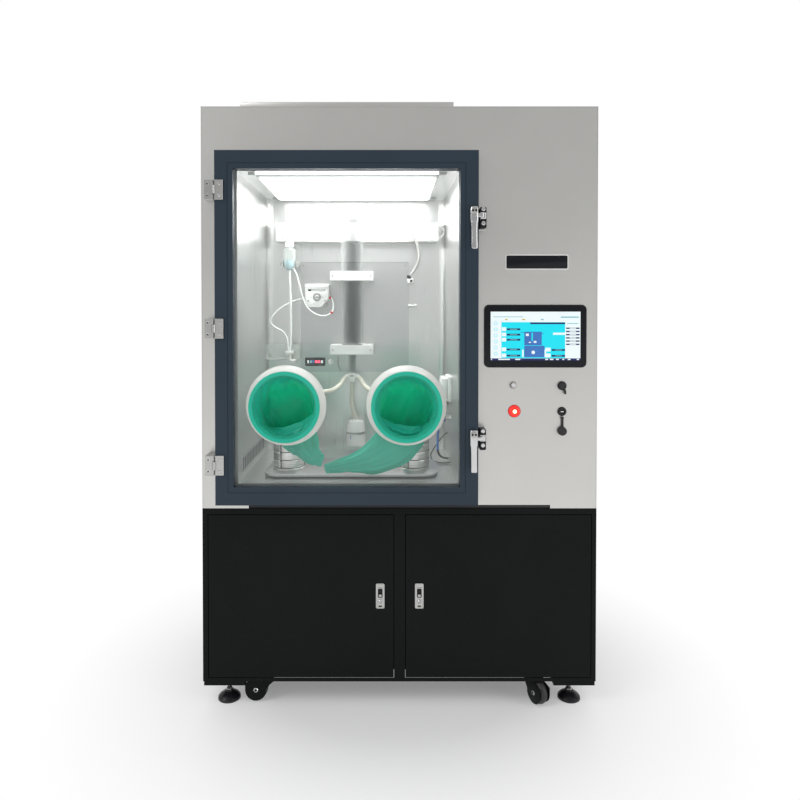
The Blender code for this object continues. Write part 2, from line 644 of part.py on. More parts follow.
def sleeve(lip_front, rim, wall, tip, tip_size):
    """A hollow sleeve from the port rim, through the bore, that hangs down inside to its tip."""
    shape = bmesh.new()
    segments = 18
    outer = PORT_BORE - 0.0015
    start_y = GLASS_THICKNESS + 0.014

    def ring_at(centre, along, wide, thick):
        """An oval loop square to `along`; `wide` lies across, `thick` along Y."""
        along = along.normalized()
        depth = Vector((0, 1, 0)) - along * along.y
        if depth.length < 0.1:
            depth = Vector((0, 0, 1))
        depth.normalize()
        across = along.cross(depth).normalized()
        loop = []
        for step in range(segments):
            angle = 2 * math.pi * step / segments
            loop.append(shape.verts.new(
                centre + across * wide * math.cos(angle) + depth * thick * math.sin(angle)))
        return loop

    forward = Vector((0, 1, 0))

    def skin(inset):
        """The loops of one face of the sleeve, from the rim to the tip."""
        bore = outer - inset
        rows = [ring_at(forward * y, forward, bore, bore) for y in (rim, 0.0, start_y)]
        bend = Vector((tip.x * 0.08, start_y + 0.043, -0.014))
        turn = Vector((tip.x * 0.25, 0.55, -0.50))
        rows.append(ring_at(bend, turn, outer * 0.93 - inset, 0.058 - inset))
        middle = Vector((tip.x * 0.36, 0.061, tip.z * 0.50))
        down = Vector((tip.x * 0.7, 0.16, tip.z))
        rows.append(ring_at(middle, down, outer * 0.74 - inset, 0.040 - inset))
        rows.append(ring_at(tip - Vector((tip.x * 0.20, 0.024, tip.z * 0.10)), down,
                            tip_size * 1.25 - inset, 0.024 - inset))
        rows.append(ring_at(tip - Vector((tip.x * 0.02, 0.024, 0)), down,
                            tip_size * 0.45 - inset, 0.012 - inset))
        return rows

    outside = skin(0.0)
    inner = skin(wall)
    lip = PORT_RIM_RADIUS - 0.004
    lip_outer = ring_at(forward * (rim - GAP), forward, lip, lip)
    lip_front_outer = ring_at(forward * lip_front, forward, lip - 0.002, lip - 0.002)
    lip_front_inner = ring_at(forward * lip_front, forward, outer - wall, outer - wall)
    loops = [outside[-1], *reversed(outside[1:-1])]
    neck = ring_at(forward * (rim - GAP), forward, outer, outer)
    loops += [neck, lip_outer, lip_front_outer, lip_front_inner, *inner]
    for vert in outside[0]:
        shape.verts.remove(vert)
    for first, second in zip(loops, loops[1:]):
        for step in range(segments):
            after = (step + 1) % segments
            shape.faces.new((first[step], first[after], second[after], second[step]))
    shape.faces.new(loops[0])
    shape.faces.new(loops[-1])
    return shape


def latch(level, z0, z1, door):
    """A lever latch on the door edge and its keeper on the cabinet."""
    axis_x, axis_y = LATCH_AXIS
    at = (axis_x - HINGE_AXIS[0], axis_y - HINGE_AXIS[1], 0)
    back = FRONT - DOOR_PROUD - 0.0007 - axis_y
    left, right = LATCH_X[0] - axis_x, LATCH_X[1] - axis_x
    neck_z = z1 - 0.050
    lever = place(f"latch_lever_{level}", block((left, back - 0.020, neck_z), (right, back, z1), 0.003),
                  "chrome", at=at, parent=door)
    grip = [(back - 0.016, neck_z + 0.010), (back - 0.006, neck_z + 0.010), (back - 0.006, neck_z),
            (back - 0.012, z0 + 0.004), (back - 0.016, z0), (back - 0.023, z0),
            (back - 0.024, z0 + 0.012)]
    handle = prism(grip, left + 0.0042, right - 0.0042, "X")
    combine(lever, handle, "UNION", "grip")
    reach = KEEPER_X[0] + 0.010 - axis_x
    nose_z = z1 - 0.026
    nose = block((right - 0.006, back - 0.0145, nose_z - 0.006), (reach, back - 0.0065, nose_z + 0.006))
    combine(lever, nose, "UNION", "nose")

    middle = z1 - KEEPER_HEIGHT / 2 + 0.002
    keeper = block((KEEPER_X[0], FRONT - 0.0505, middle - KEEPER_HEIGHT / 2),
                   (KEEPER_X[1], FRONT - GAP, middle + KEEPER_HEIGHT / 2), 0.002)
    place(f"latch_keeper_{level}", keeper, "chrome")


def controls():
    """The touchscreen, two buttons, two data sockets and the hanging socket cap."""
    bezel = plate(rounded_rectangle(*SCREEN_X, *SCREEN_Z, SCREEN_CORNER), [], FRONT - 0.006, FRONT - GAP)
    screen = place("touchscreen", bezel, "screen_black")
    margin = SCREEN_BODY_MARGIN
    body = block((SCREEN_X[0] + margin, FRONT - 0.003, SCREEN_Z[0] + margin),
                 (SCREEN_X[1] - margin, FRONT + 0.036, SCREEN_Z[1] - margin))
    combine(screen, body, "UNION", "body")

    for name, (x, z, radius), proud, coat in (
        ("push_button", PUSH_BUTTON, 0.007, "chrome"),
        ("stop_button", STOP_BUTTON, 0.010, "red_lamp"),
    ):
        shape = turned([(0, -proud), (radius - 0.002, -proud), (radius, -proud + 0.002),
                        (radius, 0.020), (0, 0.020)], 20, "Y")
        place(name, shape, coat, at=(x, FRONT, z), smooth=True)

    barrel = SOCKET_RADIUS - 0.0035
    flange = [(SOCKET_RADIUS, -GAP), (SOCKET_RADIUS, -0.003), (SOCKET_RADIUS - 0.002, -0.004)]
    tail = [(0, 0.022), (barrel, 0.022), (barrel, -GAP)]
    capped = [(0, -0.013), (SOCKET_RADIUS - 0.003, -0.013), (SOCKET_RADIUS - 0.002, -0.012)]
    bare = [(0, -0.0045), (0.0075, -0.0045), (0.0075, -0.008), (SOCKET_RADIUS - 0.004, -0.008)]
    for name, (x, z), nose in (
        ("data_socket_upper", UPPER_SOCKET, capped),
        ("data_socket_lower", LOWER_SOCKET, bare),
    ):
        profile = nose + [(SOCKET_RADIUS - 0.002, -0.004)] + flange[1::-1] + tail[::-1]
        place(name, turned(profile, 20, "Y"), "black_rubber", at=(x, FRONT, z), smooth=True)

    x, z = LOWER_SOCKET
    pivot_z = z - SOCKET_RADIUS - 0.004
    drop = z - CAP_DROP - pivot_z
    disc = turned([(0, -0.012), (SOCKET_RADIUS - 0.002, -0.012), (SOCKET_RADIUS, -0.010),
                   (SOCKET_RADIUS, -0.002), (0, -0.002)], 20, "Y")
    bmesh.ops.translate(disc, verts=disc.verts, vec=(0, 0, drop))
    cap = place("socket_cap", disc, "black_rubber", at=(x, FRONT, pivot_z), smooth=True)
    combine(cap, block((-0.003, -0.006, drop), (0.003, -0.004, 0.002)), "UNION", "strap")


def vacuum_pump():
    """The pump in the left bay that draws air through both samplers."""
    x, y, z = VACUUM_PUMP_AT
    base = place("vacuum_pump", block((-0.130, -0.070, 0), (0.130, 0.070, 0.012)), "pump_blue",
                 at=(x, y, z))
    motor = turned([(0, -0.110), (0.048, -0.110), (0.055, -0.100), (0.055, 0.030), (0, 0.030)], 24, "X")
    bmesh.ops.translate(motor, verts=motor.verts, vec=(0, 0, 0.075))
    combine(base, motor, "UNION", "motor")
    combine(base, block((0.020, -0.050, 0.008), (0.115, 0.050, 0.150), 0.006), "UNION", "head")
    combine(base, block((-0.090, -0.040, 0.006), (0.020, 0.040, 0.040)), "UNION", "saddle")


def main():
    clear_scene()
    base_cabinet()
    levelling_feet()
    casters()
    base_doors()
    vacuum_pump()
    upper_cabinet()
    test_chamber()
    sampling_tray()
    chamber_door()
    controls()


main()
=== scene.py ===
import json
import math
import random

import bmesh
import bpy
import numpy as np
from mathutils import Matrix, Vector


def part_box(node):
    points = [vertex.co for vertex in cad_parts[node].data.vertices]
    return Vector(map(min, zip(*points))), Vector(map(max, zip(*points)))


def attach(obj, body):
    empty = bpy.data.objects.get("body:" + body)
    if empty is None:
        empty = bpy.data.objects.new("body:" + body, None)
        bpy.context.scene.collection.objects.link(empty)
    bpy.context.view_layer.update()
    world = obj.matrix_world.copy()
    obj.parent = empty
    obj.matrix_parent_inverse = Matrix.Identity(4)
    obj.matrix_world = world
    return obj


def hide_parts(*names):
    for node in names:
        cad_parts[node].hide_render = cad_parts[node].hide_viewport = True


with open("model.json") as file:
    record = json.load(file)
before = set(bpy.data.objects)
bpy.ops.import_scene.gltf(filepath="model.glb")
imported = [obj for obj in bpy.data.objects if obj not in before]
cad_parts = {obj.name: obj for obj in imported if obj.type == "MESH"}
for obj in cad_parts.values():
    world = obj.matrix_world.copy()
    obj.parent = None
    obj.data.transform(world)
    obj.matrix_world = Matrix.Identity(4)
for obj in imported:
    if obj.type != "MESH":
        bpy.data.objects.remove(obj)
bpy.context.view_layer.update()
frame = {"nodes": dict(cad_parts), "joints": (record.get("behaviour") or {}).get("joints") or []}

# ---- places read from the frame -----------------------------------------------------------
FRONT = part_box("upper_front_panel")[0].y
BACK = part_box("upper_back_panel")[1].y
BODY_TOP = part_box("upper_casing")[1].z
BASE_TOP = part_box("base_casing")[1].z
CHAMBER_LOW, CHAMBER_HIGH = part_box("chamber_liner")
PANEL_LOW, PANEL_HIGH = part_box("mounting_plate")
PANE_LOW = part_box("door_glass")[0]
WALL = CHAMBER_HIGH.y - 0.0015  # inner face of the chamber's rear wall
CEILING = CHAMBER_HIGH.z - 0.0015
TRAY_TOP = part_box("sampler_tray")[1].z
OUT = (0, -1, 0)  # the way the front faces
UP = (0, 0, 1)
DOWN = (0, 0, -1)


def middle(node):
    low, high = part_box(node)
    return (low + high) / 2


# ---- camera -------------------------------------------------------------------------------
def make_camera():
    lens = bpy.data.cameras.new("camera")
    lens.sensor_width = 36
    lens.lens = 30.87
    lens.shift_x = 0.015
    lens.shift_y = -0.0978
    camera = bpy.data.objects.new("camera", lens)
    camera.location = (-0.0342, FRONT - 2.045, 1.188)
    camera.rotation_euler = (math.radians(89.1), 0, 0)
    bpy.context.scene.collection.objects.link(camera)
    bpy.context.scene.camera = camera


make_camera()


# ---- materials ----------------------------------------------------------------------------
def node(tree, kind, **values):
    """A shader node with its attributes and unlinked inputs set."""
    made = tree.nodes.new(kind)
    for key, value in values.items():
        if hasattr(made, key):
            setattr(made, key, value)
        else:
            made.inputs[key.replace("_", " ")].default_value = value
    return made


def surface(name, colour, rough, metallic=0.0, shade=0.1, patch=9.0, stretch=(1, 1, 1), fine=300.0,
            bump=0.06, swing=0.05, specks=None, sockets=None):
    """A Principled finish whose colour, gloss and relief vary with noise in the object's space.

    shade is how far broad patches darken and lighten; stretch turns the fine noise into grain;
    specks is (colour, share of the surface).
    """
    material = bpy.data.materials.new(name)
    material.use_nodes = True
    tree = material.node_tree
    shader = tree.nodes["Principled BSDF"]
    shader.inputs["Metallic"].default_value = metallic
    for key, value in (sockets or {}).items():
        shader.inputs[key].default_value = value
    where = node(tree, "ShaderNodeTexCoord").outputs["Object"]
    broad = node(tree, "ShaderNodeTexNoise", Scale=patch, Detail=4.0)
    tree.links.new(where, broad.inputs["Vector"])
    tint = node(tree, "ShaderNodeMix", data_type="RGBA")
    tint.inputs[6].default_value = (*[value * (1 - shade) for value in colour], 1)
    tint.inputs[7].default_value = (*[min(1, value * (1 + shade)) for value in colour], 1)
    tree.links.new(broad.outputs["Fac"], tint.inputs[0])
    grain_space = node(tree, "ShaderNodeMapping", Scale=stretch)
    tree.links.new(where, grain_space.inputs["Vector"])
    grain = node(tree, "ShaderNodeTexNoise", Scale=fine, Detail=3.0)
    tree.links.new(grain_space.outputs["Vector"], grain.inputs["Vector"])
    gloss = node(tree, "ShaderNodeMapRange")
    for socket, value in zip(gloss.inputs[1:5], (0.3, 0.7, max(0.02, rough - swing), rough + swing)):
        socket.default_value = value
    tree.links.new(grain.outputs["Fac"], gloss.inputs[0])
    tree.links.new(gloss.outputs[0], shader.inputs["Roughness"])
    relief = node(tree, "ShaderNodeBump", Strength=bump, Distance=0.001)
    tree.links.new(grain.outputs["Fac"], relief.inputs["Height"])
    tree.links.new(relief.outputs["Normal"], shader.inputs["Normal"])
    last = tint.outputs[2]
    if specks:
        dots = node(tree, "ShaderNodeTexNoise", Scale=fine * 0.6, Detail=2.0)
        tree.links.new(where, dots.inputs["Vector"])
        keep = node(tree, "ShaderNodeMapRange")
        edge = 0.72 - specks[1]
        for socket, value in zip(keep.inputs[1:5], (edge, edge + 0.03, 0.0, 0.7)):
            socket.default_value = value
        tree.links.new(dots.outputs["Fac"], keep.inputs[0])
        dust = node(tree, "ShaderNodeMix", data_type="RGBA")
        dust.inputs[7].default_value = (*specks[0], 1)
        tree.links.new(last, dust.inputs[6])
        tree.links.new(keep.outputs[0], dust.inputs[0])
        last = dust.outputs[2]
    tree.links.new(last, shader.inputs["Base Color"])
    return material


def clear(name, colour, rough, face_alpha, edge_alpha, blend=0.35):
    """Clear glass or acrylic: nearly invisible face on, stronger where it turns away."""
    material = surface(name, colour, rough, shade=0.05, patch=3.0, fine=40.0, bump=0.01, swing=0.01)
    tree = material.node_tree
    turn = node(tree, "ShaderNodeLayerWeight", Blend=blend)
    cover = node(tree, "ShaderNodeMapRange")
    for socket, value in zip(cover.inputs[1:5], (0.0, 1.0, face_alpha, edge_alpha)):
        socket.default_value = value
    tree.links.new(turn.outputs["Facing"], cover.inputs[0])
    tree.links.new(cover.outputs[0], tree.nodes["Principled BSDF"].inputs["Alpha"])
    return material


def glow(name, colour, strength, rough=0.3, shade=0.06, body=1.0):
    """A lit surface whose light is a little uneven; body darkens it as it is when unlit."""
    material = surface(name, [value * body for value in colour], rough, shade=shade, patch=30.0,
                       bump=0.02)
    tree = material.node_tree
    shader = tree.nodes["Principled BSDF"]
    patches = shader.inputs["Base Color"].links[0].from_node.inputs[0].links[0].from_socket
    light = node(tree, "ShaderNodeMix", data_type="RGBA")
    light.inputs[6].default_value = (*[value * (1 - shade) for value in colour], 1)
    light.inputs[7].default_value = (*[min(1, value * (1 + shade)) for value in colour], 1)
    tree.links.new(patches, light.inputs[0])
    tree.links.new(light.outputs[2], shader.inputs["Emission Color"])
    shader.inputs["Emission Strength"].default_value = strength
    return material


BRUSH_UP = (1.0, 1.0, 0.012)  # grain that runs up and down
SATIN = (1.0, 1.0, 0.35)  # short grain of a blasted finish
RINGED = (0.02, 0.02, 1.0)  # turning marks round an upright axis
COATS = {"steel": surface("satin_steel", (0.64, 0.635, 0.615), 0.36, 1.0, 0.06, 3.4, SATIN, 700, 0.05,
                          0.07), "liner": surface("chamber_steel", (0.76, 0.76, 0.75), 0.3, 1.0, 0.05,
        3.0, BRUSH_UP, 420, 0.0022, 0.03), "panel": surface("panel_steel", (0.6, 0.6, 0.6), 0.33, 1.0,
        0.05, 4.0, BRUSH_UP, 420, 0.003, 0.03), "base": surface("black_powder_coat",
        (0.004, 0.0056, 0.005), 0.42, 0.0, 0.25, 5.0, fine=900, bump=0.2, swing=0.1,
        specks=((0.03, 0.034, 0.031), 0.05), sockets={"Specular IOR Level": 0.11}),
         "door": surface("door_powder_coat", (0.022, 0.036, 0.052), 0.38, 0.0, 0.16, 3.0, fine=800,
                         bump=0.12, swing=0.06, sockets={"Specular IOR Level": 0.25}),
         "pane": clear("pane_glass", (0.78, 0.86, 0.84), 0.04, 0.045, 0.62),
         "tube_glass": clear("cylinder_glass", (0.9, 0.93, 0.91), 0.05, 0.02, 0.3, 0.25),
         "acrylic": clear("acrylic", (0.7, 0.74, 0.7), 0.1, 0.22, 0.9),
         "ring": surface("port_plastic", (0.7, 0.7, 0.665), 0.34, 0.0, 0.03, 14, fine=420, bump=0.06,
                         sockets={"Coat Weight": 0.25, "Coat Roughness": 0.2}),
         "white": surface("white_plastic", (0.76, 0.76, 0.74), 0.38, 0.0, 0.04, 20, fine=500, bump=0.07),
         "cream": surface("cream_hose", (0.72, 0.71, 0.6), 0.42, 0.0, 0.07, 40, fine=260, bump=0.08),
         "silicone": surface("silicone_tube", (0.8, 0.81, 0.79), 0.3, 0.0, 0.06, 40, fine=200, bump=0.04,
        sockets={"Coat Weight": 0.3}), "grey_hose": surface("grey_hose", (0.42, 0.42, 0.4), 0.38, 0.0,
        0.08, 40, fine=240, bump=0.08), "blue_hose": surface("blue_hose", (0.02, 0.16, 0.55), 0.35, 0.0,
        0.1, 40, fine=240, bump=0.05), "cast": surface("satin_zinc", (0.5, 0.5, 0.485), 0.3, 1.0, 0.08,
        25, fine=700, bump=0.1), "chrome": surface("chrome", (0.62, 0.62, 0.625), 0.12, 1.0, 0.1, 30,
        fine=300, bump=0.03, swing=0.05), "alloy": surface("turned_alloy", (0.8, 0.79, 0.77), 0.3, 1.0,
        0.05, 14, RINGED, 1400, 0.1, 0.07), "rubber": surface("black_rubber", (0.014, 0.014, 0.014), 0.62,
        0.0, 0.25, 30, fine=600, bump=0.18, specks=((0.06, 0.06, 0.06), 0.04)),
         "tyre": surface("caster_tyre", (0.022, 0.022, 0.022), 0.5, 0.0, 0.2, 60, fine=500, bump=0.16),
         "hub": surface("caster_hub", (0.035, 0.035, 0.034), 0.42, 0.0, 0.15, 60, fine=400, bump=0.1),
         "black": surface("black_plastic", (0.008, 0.008, 0.01), 0.34, 0.0, 0.15, 25, fine=520, bump=0.08,
                          sockets={"Specular IOR Level": 0.25}),
         "gloss": surface("screen_glass", (0.005, 0.006, 0.009), 0.14, 0.0, 0.1, 12, fine=200, bump=0.01,
                          sockets={"Specular IOR Level": 0.25}),
         # dark: the colour of dark seals and screws, and also painted shade laid in slots, pockets,
         # sockets and behind grilles
         "dark": surface("dark_and_painted_shade", (0.01, 0.01, 0.01), 0.7, 0.0, 0.3, 30, fine=300, bump=0.05),
         "pump_blue": surface("pump_enamel", (0.05, 0.085, 0.15), 0.36, 0.0, 0.12, 14, fine=600,
        bump=0.14), "red": surface("red_plastic", (0.55, 0.03, 0.02), 0.35, 0.0, 0.1, 40, fine=300,
        bump=0.05), "yellow": surface("yellow_plastic", (0.75, 0.6, 0.1), 0.4, 0.0, 0.08, 40, fine=300,
        bump=0.05), "blue": surface("blue_plastic", (0.03, 0.16, 0.5), 0.4, 0.0, 0.08, 40, fine=300,
        bump=0.05), "pale_blue": surface("blue_liquid", (0.45, 0.68, 0.76), 0.2, 0.0, 0.08, 40, fine=200,
        bump=0.02), "lamp": glow("lamp_diffuser", (0.95, 0.97, 1.0), 2.2, 0.5, 0.03),
         "batten": glow("batten_cover", (0.9, 0.91, 0.92), 0.35, 0.4, 0.03),
         "red_glow": glow("red_lamp", (0.95, 0.02, 0.015), 0.95),
         "hot_glow": glow("lamp_core", (1.0, 0.72, 0.35), 3.0, 0.3, 0.2),
         "page": glow("display_white", (0.86, 0.96, 1.0), 0.9, 0.2, 0.05, 0.1),
         "cyan": glow("display_cyan", (0.0, 0.8, 0.95), 0.85, 0.2, 0.05, 0.1),
         "sky": glow("display_blue", (0.05, 0.2, 0.6), 0.75, 0.2, 0.18, 0.1),
         "navy": glow("display_navy", (0.01, 0.02, 0.22), 0.45, 0.2, 0.1, 0.1),
         "mint": glow("display_teal", (0.25, 0.62, 0.68), 0.7, 0.2, 0.1, 0.1),
         "amber": glow("display_amber", (0.75, 0.55, 0.1), 0.7, 0.2, 0.1, 0.1),
         "digit_red": glow("digit_red", (1.0, 0.08, 0.15), 1.2, 0.2, 0.1),}


def glove_rubber():
    """Soft teal film: woven-looking fine grain, broad stains, and light that passes through."""
    material = surface("glove_film", (0.02, 0.58, 0.44), 0.44, 0.0, 0.16, 11.0, fine=650, bump=0.1,
                       swing=0.08, sockets={"Sheen Weight": 0.25, "Sheen Roughness": 0.4})
    tree = material.node_tree
    shader = tree.nodes["Principled BSDF"]
    film = node(tree, "ShaderNodeBsdfTranslucent")
    film.inputs["Color"].default_value = (0.1, 0.85, 0.52, 1)
    both = node(tree, "ShaderNodeMixShader")
    both.inputs[0].default_value = 0.36
    output = tree.nodes["Material Output"]
    tree.links.new(shader.outputs[0], both.inputs[1])
    tree.links.new(film.outputs[0], both.inputs[2])
    tree.links.new(both.outputs[0], output.inputs["Surface"])
    return material


COATS["glove"] = glove_rubber()


# ---- shapes: each function returns a bmesh ------------------------------------------------
def block(low, high, bevel=0.0, steps=2):
    """A box between two corners with rounded edges."""
    low, high = Vector(low), Vector(high)
    shape = bmesh.new()
    size = Matrix.Diagonal((*(high - low), 1.0))
    bmesh.ops.create_cube(shape, size=1.0, matrix=Matrix.Translation((low + high) / 2) @ size)
    if bevel:
        bmesh.ops.bevel(shape, geom=shape.edges[:], offset=bevel, segments=steps, affect="EDGES",
                        profile=0.5)
    return shape


def rounded(x0, x1, z0, z1, radius, steps=8):
    """The corner points of a rounded rectangle, anticlockwise."""
    points = []
    corners = ((x1 - radius, z1 - radius, 0), (x0 + radius, z1 - radius, 90),
               (x0 + radius, z0 + radius, 180), (x1 - radius, z0 + radius, 270))
    for cx, cz, start in corners:
        for step in range(steps + 1):
            angle = math.radians(start + 90 * step / steps)
            points.append((cx + radius * math.cos(angle), cz + radius * math.sin(angle)))
    return points


def circle(cx, cz, radius, segments=48, ribs=0, depth=0.0):
    """The points of a circle, with a knurl of `ribs` if asked."""
    points = []
    for step in range(segments):
        turn = 2 * math.pi * step / segments
        r = radius - depth * (0.5 - 0.5 * math.cos(ribs * turn))
        points.append((cx + r * math.cos(turn), cz + r * math.sin(turn)))
    return points


def plate(outline, y0, y1, holes=(), bevel=0.0):
    """An XZ outline with holes, from y0 (the front) to y1, with its sharp edges eased."""
    shape = bmesh.new()
    edges = []
    for loop in [outline, *holes]:
        verts = [shape.verts.new((x, y0, z)) for x, z in loop]
        for first, second in zip(verts, verts[1:] + verts[:1]):
            edges.append(shape.edges.new((first, second)))
    bmesh.ops.triangle_fill(shape, edges=edges, use_beauty=True, use_dissolve=False)
    bmesh.ops.dissolve_limit(shape, angle_limit=0.01, verts=shape.verts, edges=shape.edges)
    made = bmesh.ops.extrude_face_region(shape, geom=shape.faces[:])
    moved = [item for item in made["geom"] if isinstance(item, bmesh.types.BMVert)]
    bmesh.ops.translate(shape, verts=moved, vec=(0, y1 - y0, 0))
    bmesh.ops.recalc_face_normals(shape, faces=shape.faces)
    if bevel:
        rims = [edge for edge in shape.edges if len(edge.link_faces) == 2
                and abs(edge.calc_face_angle()) > 1.0 and abs(edge.verts[0].co.y
                - edge.verts[1].co.y) < 1e-6]
        bmesh.ops.bevel(shape, geom=rims, offset=bevel, segments=2, affect="EDGES", profile=0.5)
    return shape


def turned(profile, at=(0, 0, 0), facing=UP, segments=48, ring=False):
    """A turned solid: profile points are (radius, how far along `facing` from `at`)."""
    shape = bmesh.new()
    rows = []
    for radius, along in profile:
        count = segments if radius > 0 else 1
        turns = [2 * math.pi * step / segments for step in range(count)]
        rows.append([shape.verts.new((radius * math.cos(turn), radius * math.sin(turn), along))
                     for turn in turns])
    pairs = list(zip(rows, rows[1:]))
    if ring:
        pairs.append((rows[-1], rows[0]))
    for lower, upper in pairs:
        for step in range(segments):
            after = (step + 1) % segments
            corners = [lower[step % len(lower)], lower[after % len(lower)], upper[after % len(upper)],
                       upper[step % len(upper)]]
            shape.faces.new(dict.fromkeys(corners))
    if not ring:
        for row in (rows[0], rows[-1]):
            if len(row) > 1:
                shape.faces.new(row)
    aim = Vector(facing).to_track_quat("Z", "Y").to_matrix().to_4x4()
    bmesh.ops.transform(shape, verts=shape.verts, matrix=Matrix.Translation(at) @ aim)
    return shape


def screw(at, radius, facing=OUT):
    """A button-head screw with a socket in its head."""
    head = radius * 0.55
    shape = turned([(0, head * 0.35), (radius * 0.42, head * 0.35), (radius * 0.45, head),
                    (radius * 0.72, head * 0.92), (radius, head * 0.35), (radius, 0.0), (0, 0.0)], at,
                   facing, 24)
    return shape


def smooth_route(points, steps=6):
    """Points on a smooth curve through the given ones (Catmull-Rom)."""
    route = [Vector(point) for point in points]
    padded = [2 * route[0] - route[1], *route, 2 * route[-1] - route[-2]]
    line = []
    for a, b, c, d in zip(padded, padded[1:], padded[2:], padded[3:]):
        for step in range(steps):
            t = step / steps
            line.append(0.5 * (2 * b + (c - a) * t + (2 * a - 5 * b + 4 * c - d) * t * t
                               + (3 * b - a - 3 * c + d) * t ** 3))
    return [*line, route[-1]]


def loft(loops, closed_ends=True):
    """A skin over loops of equal length."""
    shape = bmesh.new()
    rows = [[shape.verts.new(point) for point in loop] for loop in loops]
    for first, second in zip(rows, rows[1:]):
        for step in range(len(first)):
            after = (step + 1) % len(first)
            shape.faces.new((first[step], first[after], second[after], second[step]))
    if closed_ends:
        shape.faces.new(rows[0])
        shape.faces.new(rows[-1])
    return shape


def rod(points, radius, sides=12, steps=6):
    """A round bar or wire along a smooth route."""
    line = smooth_route(points, steps)
    loops = []
    side = Vector((0.31, 0.17, 0.94))
    for index, point in enumerate(line):
        along = line[min(index + 1, len(line) - 1)] - line[max(index - 1, 0)]
        along.normalize()
        side = (side - along * side.dot(along)).normalized()
        other = along.cross(side)
        loops.append([point + radius * (side * math.cos(turn) + other * math.sin(turn))
                      for turn in (2 * math.pi * step / sides for step in range(sides))])
    return loft(loops)


# ---- pieces -------------------------------------------------------------------------------
def piece(name, parts, body, replaces=(), angle=32):
    """One object made of (shape, coat) pairs, which rides on a body."""
    used = []
    whole = bmesh.new()
    for shape, coat in parts:
        if coat not in used:
            used.append(coat)
        for face in shape.faces:
            face.material_index = used.index(coat)
        bmesh.ops.recalc_face_normals(shape, faces=shape.faces)
        held = bpy.data.meshes.new("held")
        shape.to_mesh(held)
        shape.free()
        whole.from_mesh(held)
        bpy.data.meshes.remove(held)
    mesh = bpy.data.meshes.new(name)
    whole.to_mesh(mesh)
    whole.free()
    for coat in used:
        mesh.materials.append(COATS[coat])
    mesh.shade_smooth()
    mesh.set_sharp_from_angle(angle=math.radians(angle))
    made = bpy.data.objects.new(name, mesh)
    bpy.context.scene.collection.objects.link(made)
    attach(made, body)
    if replaces:
        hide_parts(*replaces)
    return made


def dress(coat, *names):
    """Gives CAD nodes a finished material."""
    for name in names:
        part = frame["nodes"][name]
        part.data.materials.clear()
        part.data.materials.append(COATS[coat])


def hose(name, points, diameter, coat):
    """A hose or cable between two fittings, a round curve along a smooth route."""
    line = smooth_route(points, 8)
    curve = bpy.data.curves.new(name, "CURVE")
    curve.dimensions = "3D"
    curve.bevel_depth = diameter / 2
    curve.bevel_resolution = 3
    curve.use_fill_caps = True
    spline = curve.splines.new("POLY")
    spline.points.add(len(line) - 1)
    for point, place in zip(spline.points, line):
        point.co = (*place, 1)
    curve.materials.append(COATS[coat])
    made = bpy.data.objects.new(name, curve)
    bpy.context.scene.collection.objects.link(made)
    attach(made, "cabinet")
    return made


def in_chamber(x, depth, z):
    """A point in the chamber, its depth measured from the cabinet's face."""
    return Vector((x, FRONT + depth, z))


# ---- hoses and cables in the chamber ------------------------------------------------------
NEBULISER_AT = in_chamber(-0.3905, 0.44, 1.387)
HOLDER_X = (-0.484, -0.356)
HOLDER_Z = (1.01, 1.066)
CONNECTOR_AT = in_chamber(middle("aerosol_cylinder").x, 0.418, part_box("aerosol_cylinder")[0].z - 0.013)
ELBOW_AT = in_chamber(0.048, 0.478, 1.302)
TRAP_TOP = Vector((middle("trap_bottle").x, middle("trap_bottle").y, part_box("trap_bottle")[1].z))


def nebuliser():
    """The atomiser bottle in its clip, which hangs beside the mounting plate."""
    x, y, z = NEBULISER_AT
    glass = turned([(0, -0.052), (0.012, -0.05), (0.019, -0.042), (0.0215, -0.03), (0.0215, 0.018),
                    (0.019, 0.024), (0.0125, 0.03), (0.0125, 0.034), (0, 0.034)], (x, y, z))
    liquid = turned([(0, -0.0498), (0.011, -0.048), (0.0175, -0.041), (0.02, -0.03), (0.02, -0.016),
                     (0, -0.016)], (x, y, z))
    cap = plate(circle(0, 0, 0.0165, 72, 18, 0.001), 0, 0.018)
    bmesh.ops.rotate(cap, verts=cap.verts, matrix=Matrix.Rotation(math.radians(90), 3, "X"))
    bmesh.ops.translate(cap, verts=cap.verts, vec=(x, y, z + 0.032))
    nozzle = turned([(0, 0.05), (0.0055, 0.05), (0.0045, 0.056), (0.006, 0.057), (0.0045, 0.0625),
                     (0, 0.0625)], (x, y, z), segments=24)
    clip = plate(rounded(x - 0.036, x + 0.036, z - 0.034, z - 0.022, 0.003), y + 0.02, y + 0.024)
    arm = block((x - 0.006, y + 0.024, z - 0.032), (x + 0.006, WALL - 0.0005, z - 0.024), 0.001)
    parts = [(glass, "acrylic"), (liquid, "pale_blue"), (cap, "white"), (nozzle, "white"),
             (clip, "grey_hose"), (arm, "cast")]
    for side in (-1, 1):
        parts.append((block((x + side * 0.0255 - 0.003, y - 0.01, z - 0.04),
                            (x + side * 0.0255 + 0.003, y + 0.02, z - 0.018), 0.0015), "grey_hose"))
    return piece("nebuliser", parts, "cabinet")


